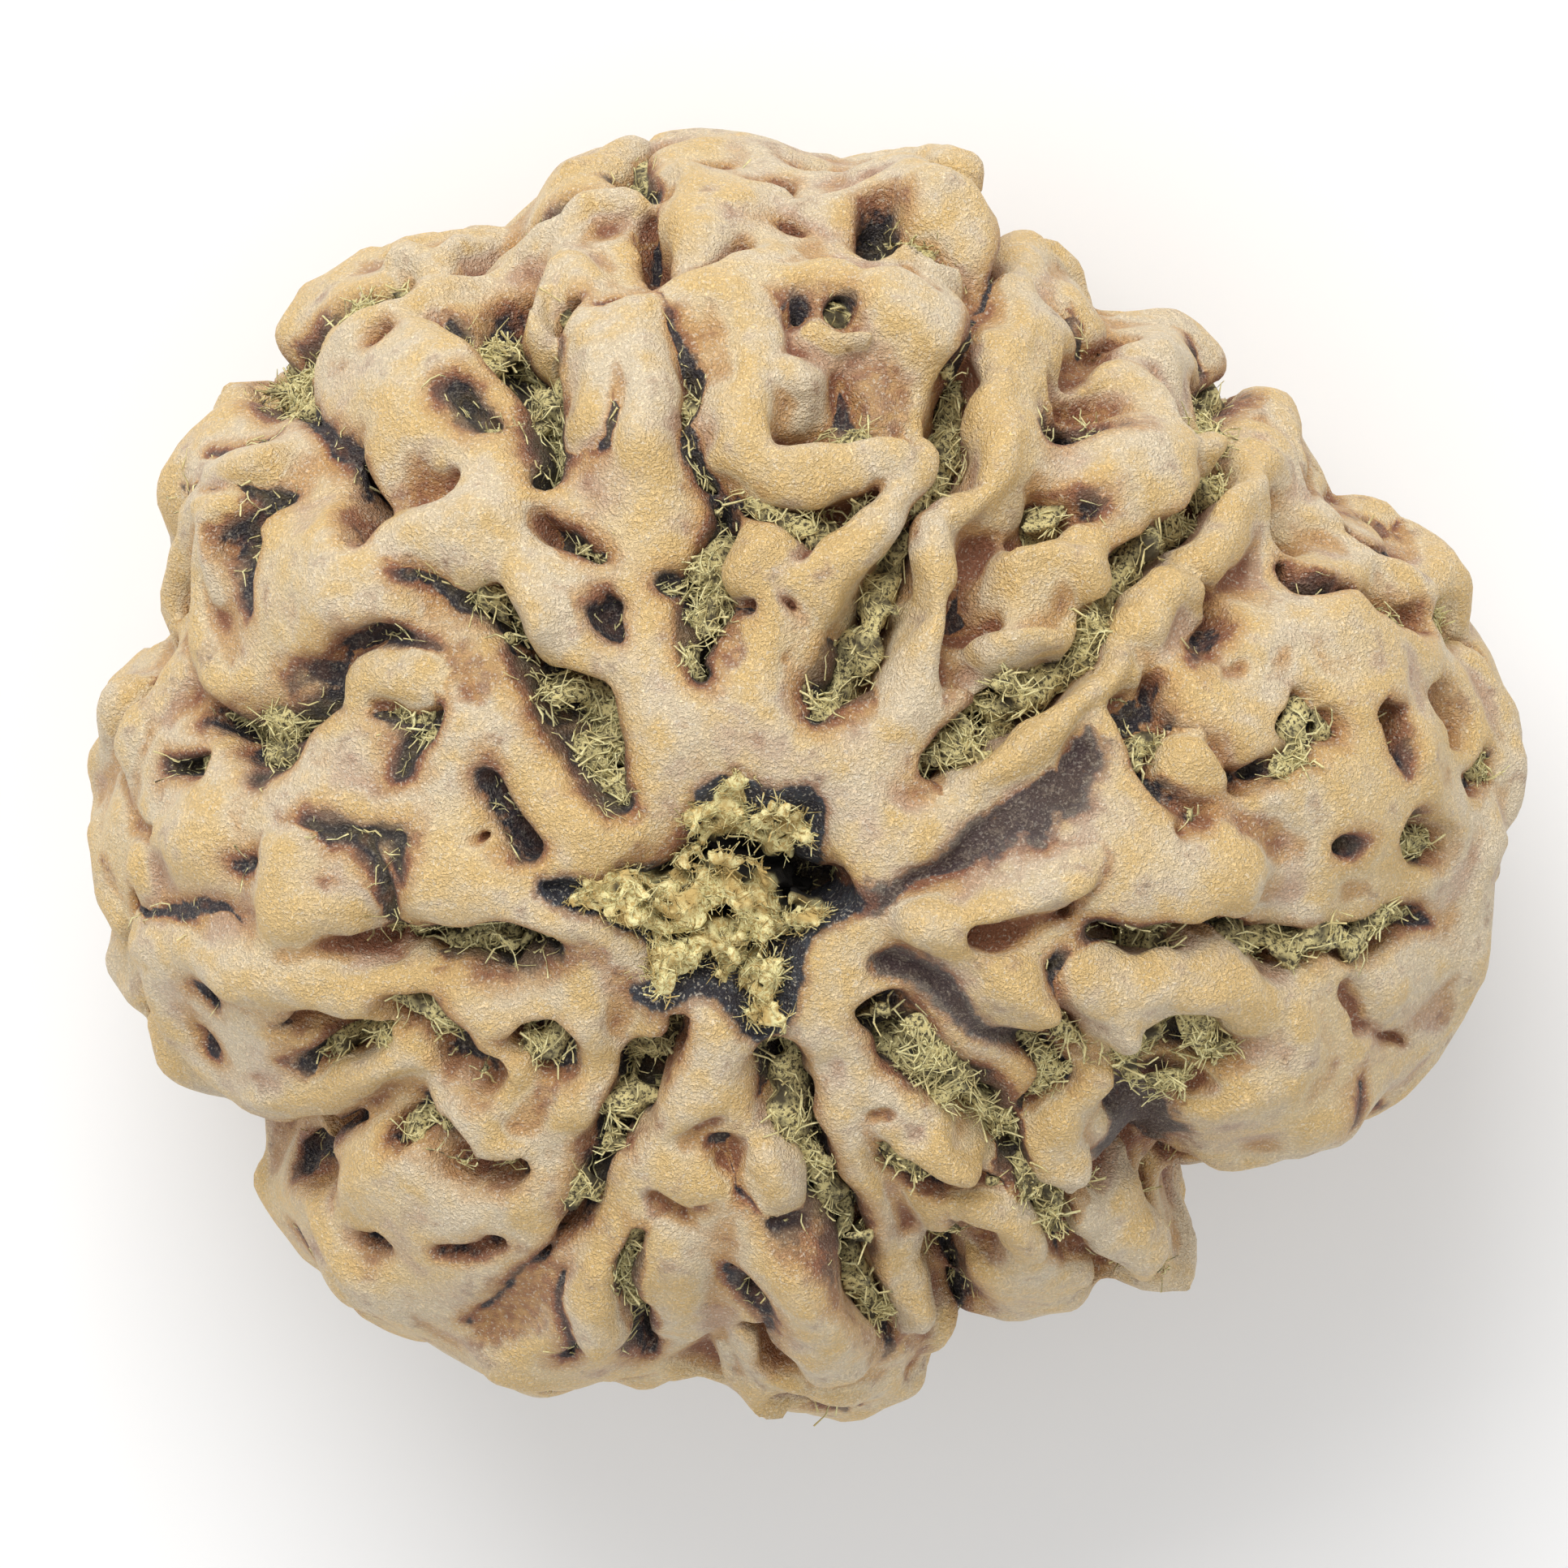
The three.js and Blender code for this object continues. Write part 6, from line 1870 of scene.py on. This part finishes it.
@dataclass(frozen=True)
class Mats:
    """The matted dry fibre on the floors of the clefts and pits.

    Args:
        bench: What it is worked from.
        share: Depth of a mat's top, as a share of its cut's depth.
        fit: Its width, as a share of its cut's width.
        shallowest: Depth of the shallowest cut that has a mat.
        top: Least depth of a mat's top under its cut's edge.
        cover: Least depth of it under the body's surface.
        grain: Random unevenness of the mats.
        limit: Triangles that they are thinned to.
    """

    bench: Bench
    share: float = 0.4
    fit: float = 0.76
    shallowest: float = 0.6
    top: float = 0.4
    cover: float = 0.5
    grain: Waves = ((0.8, 0.5, 32), (0.6, 0.25, 33))
    limit: int = 90000

    def fills(self) -> list[tuple[SetStroke, float]]:
        """Turn the cuts with fibres into mats.

        Returns:
            The mats as strokes that fill their cuts from below, and how deep each reaches.
        """
        fills = []
        for cut_stroke in self.bench.strokes:
            stroke = cut_stroke.stroke
            if stroke.lining is not Lining.FIBRE or stroke.relief < self.shallowest or stroke in STAR:
                continue
            top = -max(self.top, self.share * stroke.relief)
            fill = Stroke(StrokeKind.RAISE, stroke.half_width, top, stroke.points)
            stations = [replace(station, width=station.width * self.fit) for station in cut_stroke.stations]
            fills.append((SetStroke(fill, stations), stroke.relief + 0.2))
        return fills

    def build(self) -> Piece:
        """Lay the mats and tell where threads grow on them.

        Returns:
            The finished piece.
        """
        block = self.bench.block()
        block.lay(self.fills())
        block.pierce(0.4, 31, 0.05, 6)
        block.roughen(*self.grain)
        block.keep_inside(self.bench.relief.body.distance(*block.at()) + self.cover)
        piece = finish_skin("cleft-mats", block, MAT_FINISH, self.limit, all_shells=True)
        points = mesh_points(piece)
        outward = points / np.linalg.norm(points, axis=1)[:, None]
        facing = (read_triples(piece.data.vertex_normals, "vector") * outward).sum(axis=1)
        seen = 0.06 + 0.94 * upper(points)
        seen *= 0.3 + 1.1 * eased(block.look_up(points, block.wave(0.7, 34)), -0.12, 0.15)
        hold(piece, "strands", seen * eased(facing, 0.0, 0.5))
        # Painted shade: the fibre is darkened where more material crowds round, deep in the mats' recesses.
        hold(piece, "sunk", eased(block.look_up(points, block.crowding(0.25)), 0.52, 0.66))
        return piece


@dataclass(frozen=True)
class Pith:
    """The torn pale pith that fills the star, with the open cavities in it.

    Args:
        bench: What it is worked from.
        bottom: Depth that it reaches down to.
        clearance: How far it stays inside the star's outline and under the body's surface.
        grain: Random unevenness of it.
        bends: Random bends of its own.
        limit: Triangles that it is thinned to.
        pitch: Size of a cell of the block it is worked in.
        low: Lowest corner of that block.
        high: Its highest corner.
    """

    bench: Bench
    bottom: float = 3.3
    clearance: float = 0.06
    grain: Waves = ((0.6, 0.3, 43), (0.5, 0.12, 44))
    bends: Waves = ((0.25, 0.5, 41), (0.25, 0.18, 42))
    limit: int = 110000
    pitch: float = 0.04
    low: Triple = (-4.8, -3.6, 6.0)
    high: Triple = (2.4, 2.8, 10.2)

    def build(self) -> Piece:
        """Lay the pith, tear it and tell where shreds grow on it.

        Returns:
            The finished piece.
        """
        relief = self.bench.relief
        block = Block(self.low, self.high, self.pitch)
        self.bench.bend_block(block)
        for size, spacing, seed in self.bends:
            block.bend_by(Waver(self.low, self.high, spacing, seed, 3), size)
        block.lay([(fill, self.bottom) for fill in relief.place(PITH, relief.seen, 1.0)])
        block.pierce(0.3, 45, 0.12, 4)
        block.roughen(*self.grain)
        block.work(relief.place(CAVITIES, relief.seen, 1.0))
        star = SetOutline(STAR_OUTLINE, relief.body, relief.eye)
        at = block.at()
        outside = np.maximum(star.beside(star.spans()[0], at), relief.body.distance(*at))
        block.keep_inside(outside + self.clearance)
        piece = finish_skin("pith", block, PITH_FINISH, self.limit)
        points = mesh_points(piece)
        depth = -relief.body.distance(*points.T)
        hold(piece, "strands", eased(depth, 1.2, 0.8))
        hollow = eased(block.look_up(points, block.crowding(0.2)), 0.55, 0.7)
        # Painted shade: the pith is darkened deep in the star and in its pockets.
        hold(piece, "sunk", np.maximum(eased(depth, 0.95, 1.6), hollow))
        return piece


@dataclass(frozen=True)
class FibreBed:
    """Short dry threads that grow on the floors and walls of the clefts and pits.

    Args:
        ground: Piece that they grow on; its reading "strands" says how densely.
        name: Name of the piece.
        material: Their material.
        density: Threads on a square millimetre where the reading is 1.
        length: Length of a thread in millimetres.
        thickness: Its half-thickness in millimetres.
        across: Least and most X where they grow, in millimetres.
        tilt: Least and most tilt from the ground's normal, in radians.
        seed: Seed of everything random.
    """

    ground: Piece
    name: str
    material: bpy.types.Material
    density: float
    length: float
    thickness: float
    across: Pair = (-20.0, 20.0)
    tilt: Pair = (1.3, 1.65)
    seed: int = 5

    def build(self) -> Piece:
        """Grow the threads.

        Returns:
            The finished piece.
        """
        piece = put_in_scene(bpy.data.objects.new(self.name, self.ground.data.copy()))
        tree = FibreTree(self.name, self.material, self.tilt)
        grow = piece.modifiers.new("grow", "NODES")
        grow.node_group = tree.nodes
        values = {
            "Density": self.density / MILLIMETRE**2, "Length": self.length * MILLIMETRE,
            "Thickness": self.thickness * MILLIMETRE, "Seed": self.seed,
            "From": self.across[0] * MILLIMETRE, "To": self.across[1] * MILLIMETRE,
        }
        for item in tree.nodes.interface.items_tree:
            if item.name in values:
                grow[item.identifier] = values[item.name]
        settle_modifiers(piece)
        return piece


class FibreTree(Tree):
    """The node tree that strews bent threads over a mesh.

    Args:
        name: Name of the tree.
        material: Material of the threads.
        tilt: Least and most tilt from the ground's normal, in radians.
    """

    bends: tuple[Pair, ...] = ((1.1, 0.1), (-0.8, 0.2), (1.0, -0.2), (-1.3, -0.05))
    ring: float = 0.05
    taper: float = 0.75
    sway: float = 0.3
    least_scale: Triple = (0.5, 0.5, 0.4)
    most_scale: Triple = (1.4, 1.4, 1.5)
    wave_size: float = 0.25
    wave_height: float = 0.16

    def __init__(self, name: str, material: bpy.types.Material, tilt: Pair) -> None:
        """Name the tree's inputs and its output, and lay it out."""
        super().__init__(bpy.data.node_groups.new(name, "GeometryNodeTree"))
        sockets = {"Geometry": "Geometry", "Seed": "Int"}
        for label in ("Geometry", "Density", "Length", "Thickness", "From", "To", "Seed"):
            kind = "NodeSocket" + sockets.get(label, "Float")
            self.nodes.interface.new_socket(label, in_out="INPUT", socket_type=kind)
        self.nodes.interface.new_socket("Geometry", in_out="OUTPUT", socket_type="NodeSocketGeometry")
        self.given = self.node("NodeGroupInput", {}, {}).outputs
        self.lay(material, tilt)

    def thread(self, bend: Pair) -> Socket:
        """Make one bent, tapered thread along Z.

        Args:
            bend: How far its tip leans along X and Y.

        Returns:
            The thread, of length 1.
        """
        line = self.out("GeometryNodeCurvePrimitiveLine", {}, {"End": (0.0, 0.0, 1.0)})
        path = self.out("GeometryNodeResampleCurve", {}, {0: line, "Count": 4})
        share = self.reading("GeometryNodeSplineParameter", {}, {}, "Factor")
        squared = share * share
        lean = self.out("ShaderNodeCombineXYZ", {}, {0: squared * bend[0], 1: squared * bend[1]})
        bent = self.out("GeometryNodeSetPosition", {}, {0: path, "Offset": lean})
        radius = 1.0 - squared * self.taper
        thin = self.out("GeometryNodeSetCurveRadius", {}, {0: bent, "Radius": radius})
        ring = self.out("GeometryNodeCurvePrimitiveCircle", {}, {"Resolution": 3, "Radius": self.ring})
        tube = self.out("GeometryNodeCurveToMesh", {}, {0: thin, 1: ring, "Fill Caps": True})
        return self.out("GeometryNodeGeometryToInstance", {}, {0: tube})

    def density(self) -> Reading:
        """Work out how densely the threads grow.

        Returns:
            The density, 0 outside the given range of X.
        """
        strands = self.reading("GeometryNodeInputNamedAttribute", {"data_type": "FLOAT"}, {"Name": "strands"})
        spot = self.out("GeometryNodeInputPosition", {}, {})
        x = self.reading("ShaderNodeSeparateXYZ", {}, {0: spot})
        over = x.reckon("GREATER_THAN", x, self.given["From"])
        under = x.reckon("LESS_THAN", x, self.given["To"])
        return strands * self.given["Density"] * (over * under)

    def chance(self, seed: Any, least: Triple, most: Triple) -> Socket:
        """Return a random vector between two."""
        settings = {"data_type": "FLOAT_VECTOR"}
        return self.out("FunctionNodeRandomValue", settings, {0: least, 1: most, "Seed": seed})

    def waved(self, threads: Socket) -> Socket:
        """Bend the finished threads a little by a smooth random amount.

        Args:
            threads: The threads.

        Returns:
            The bent threads.
        """
        wave = self.out("ShaderNodeTexNoise", {}, {
            "Vector": self.out("GeometryNodeInputPosition", {}, {}),
            "Scale": 1 / (self.wave_size * MILLIMETRE), "Detail": 1.0,
        }, "Color")
        middle = self.out("ShaderNodeVectorMath", {"operation": "SUBTRACT"}, {0: wave, 1: (0.5, 0.5, 0.5)})
        shift = self.out("ShaderNodeVectorMath", {"operation": "SCALE"}, {
            0: middle, "Scale": 2 * self.wave_height * MILLIMETRE,
        })
        return self.out("GeometryNodeSetPosition", {}, {0: threads, "Offset": shift})

    def lay(self, material: bpy.types.Material, tilt: Pair) -> None:
        """Lay out the whole tree.

        Args:
            material: Material of the threads.
            tilt: Least and most tilt from the ground's normal, in radians.
        """
        seed = self.given["Seed"]
        points = self.node("GeometryNodeDistributePointsOnFaces", {"distribute_method": "RANDOM"}, {
            "Mesh": self.given["Geometry"], "Density": self.density(), "Seed": seed,
        }).outputs
        shapes = self.node("GeometryNodeJoinGeometry", {}, {})
        for bend in self.bends:
            self.nodes.links.new(self.thread(bend), shapes.inputs[0])
        spin = self.chance(seed, (tilt[0], -self.sway, 0.0), (tilt[1], self.sway, math.tau))
        turned = self.out("FunctionNodeRotateRotation", {"rotation_space": "LOCAL"}, {
            0: points["Rotation"], 1: self.out("FunctionNodeEulerToRotation", {}, {0: spin}),
        })
        width = Reading(self, self.given["Thickness"]) * (1 / self.ring)
        size = self.out("ShaderNodeCombineXYZ", {}, {0: width, 1: width, 2: self.given["Length"]})
        scale = self.out("ShaderNodeVectorMath", {"operation": "MULTIPLY"}, {
            0: size, 1: self.chance(77, self.least_scale, self.most_scale),
        })
        pick = self.out("FunctionNodeRandomValue", {"data_type": "INT"}, {
            4: 0, 5: len(self.bends) - 1, "Seed": 78,
        }, 2)
        strewn = self.out("GeometryNodeInstanceOnPoints", {}, {
            "Points": points["Points"], "Instance": shapes.outputs[0], "Pick Instance": True,
            "Instance Index": pick, "Rotation": turned, "Scale": scale,
        })
        waved = self.waved(self.out("GeometryNodeRealizeInstances", {}, {0: strewn}))
        done = self.out("GeometryNodeSetMaterial", {}, {0: waved, "Material": material})
        self.node("NodeGroupOutput", {}, {0: done})


@dataclass(frozen=True)
class Studio:
    """The floor, the lights and the camera.

    Args:
        eye: The eye that the seed is drawn for.
        frame_width: Width of the picture at the seed's centre, in millimetres.
        aim: What the picture's middle is off the seed's centre, in the drawing plane.
        sensor: Width of the camera's sensor, in millimetres.
        lamp_place: Where the key light hangs, in metres.
        lamp_size: Its width, in metres.
        lamp_power: Its power, in watts.
        sky: Strength of the light from all round.
        floor_reach: Reach of the floor, in metres.
    """

    eye: Eye
    frame_width: float = 29.3
    aim: Pair = (0.32, -0.06)
    sensor: float = 36.0
    lamp_place: Triple = (-0.05, 0.2, 0.22)
    lamp_size: float = 0.16
    lamp_power: float = 0.6
    sky: float = 0.76
    floor_reach: float = 1.0

    def build(self) -> None:
        """Lay the floor, hang the lights and set the camera."""
        mesh = bpy.data.meshes.new("floor")
        far = self.floor_reach
        mesh.from_pydata([(-far, -far, 0), (far, -far, 0), (far, far, 0), (-far, far, 0)], [], [(0, 1, 2, 3)])
        mesh.materials.append(FloorFinish().material())
        floor = put_in_scene(bpy.data.objects.new("floor", mesh))
        self.hang_lamp()
        world = bpy.data.worlds.new("studio")
        world.use_nodes = True
        world.node_tree.nodes["Background"].inputs["Color"].default_value = (1.0, 1.0, 1.0, 1.0)
        world.node_tree.nodes["Background"].inputs["Strength"].default_value = self.sky
        bpy.context.scene.world = world
        bpy.context.scene.view_settings.view_transform = "Standard"
        self.set_camera()

    def hang_lamp(self) -> None:
        """Hang a soft square light that points at the seed."""
        light = bpy.data.lights.new("key", "AREA")
        light.size, light.energy = self.lamp_size, self.lamp_power
        lamp = put_in_scene(bpy.data.objects.new("key", light))
        lamp.location = self.lamp_place
        way = Vector((0.0, 0.0, SEED_CENTRE[2] * MILLIMETRE)) - Vector(self.lamp_place)
        lamp.rotation_euler = way.to_track_quat("-Z", "Y").to_euler()

    def set_camera(self) -> None:
        """Set the camera at the eye."""
        data = bpy.data.cameras.new("eye")
        data.sensor_width = self.sensor
        data.lens = self.sensor * self.eye.distance / self.frame_width
        data.clip_start, data.clip_end = 0.01, 10.0
        camera = put_in_scene(bpy.data.objects.new("eye", data))
        aside = np.array([self.aim[0], 0.0, 0.0]) + self.aim[1] * self.eye.up
        place = np.array(SEED_CENTRE) + aside + self.eye.back * self.eye.distance
        camera.location = place * MILLIMETRE
        camera.rotation_euler = (-self.eye.lean, 0.0, 0.0)
        bpy.context.scene.camera = camera


def main() -> None:
    """Build the seed and its studio."""
    logging.basicConfig(level=logging.INFO, format="%(message)s")
    eye = Eye()
    bench = Bench(Relief(Body(), eye))
    stone = Stone(bench).build()
    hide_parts("seed")
    mats, pith = Mats(bench).build(), Pith(bench).build()
    straw, pale = FIBRE_FINISH.material(), pith.data.materials[0]
    short, upright = (68.0, 0.29, 0.016), (1.45, 1.65)
    beds = (
        FibreBed(mats, "left-fibres", straw, *short, (-20.0, 0.7), upright),
        FibreBed(mats, "right-fibres", straw, *short, (0.7, 20.0), upright),
        FibreBed(stone, "pit-fibres", straw, 16.0, 0.26, 0.014),
        FibreBed(pith, "pith-shreds", pale, 90.0, 0.14, 0.013),
    )
    for piece in (stone, mats, pith, *[bed.build() for bed in beds]):
        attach(piece, "root")
        LOG.info("%s: %d faces", piece.name, len(piece.data.polygons))
    Studio(eye).build()


if __name__ == "__main__":
    main()
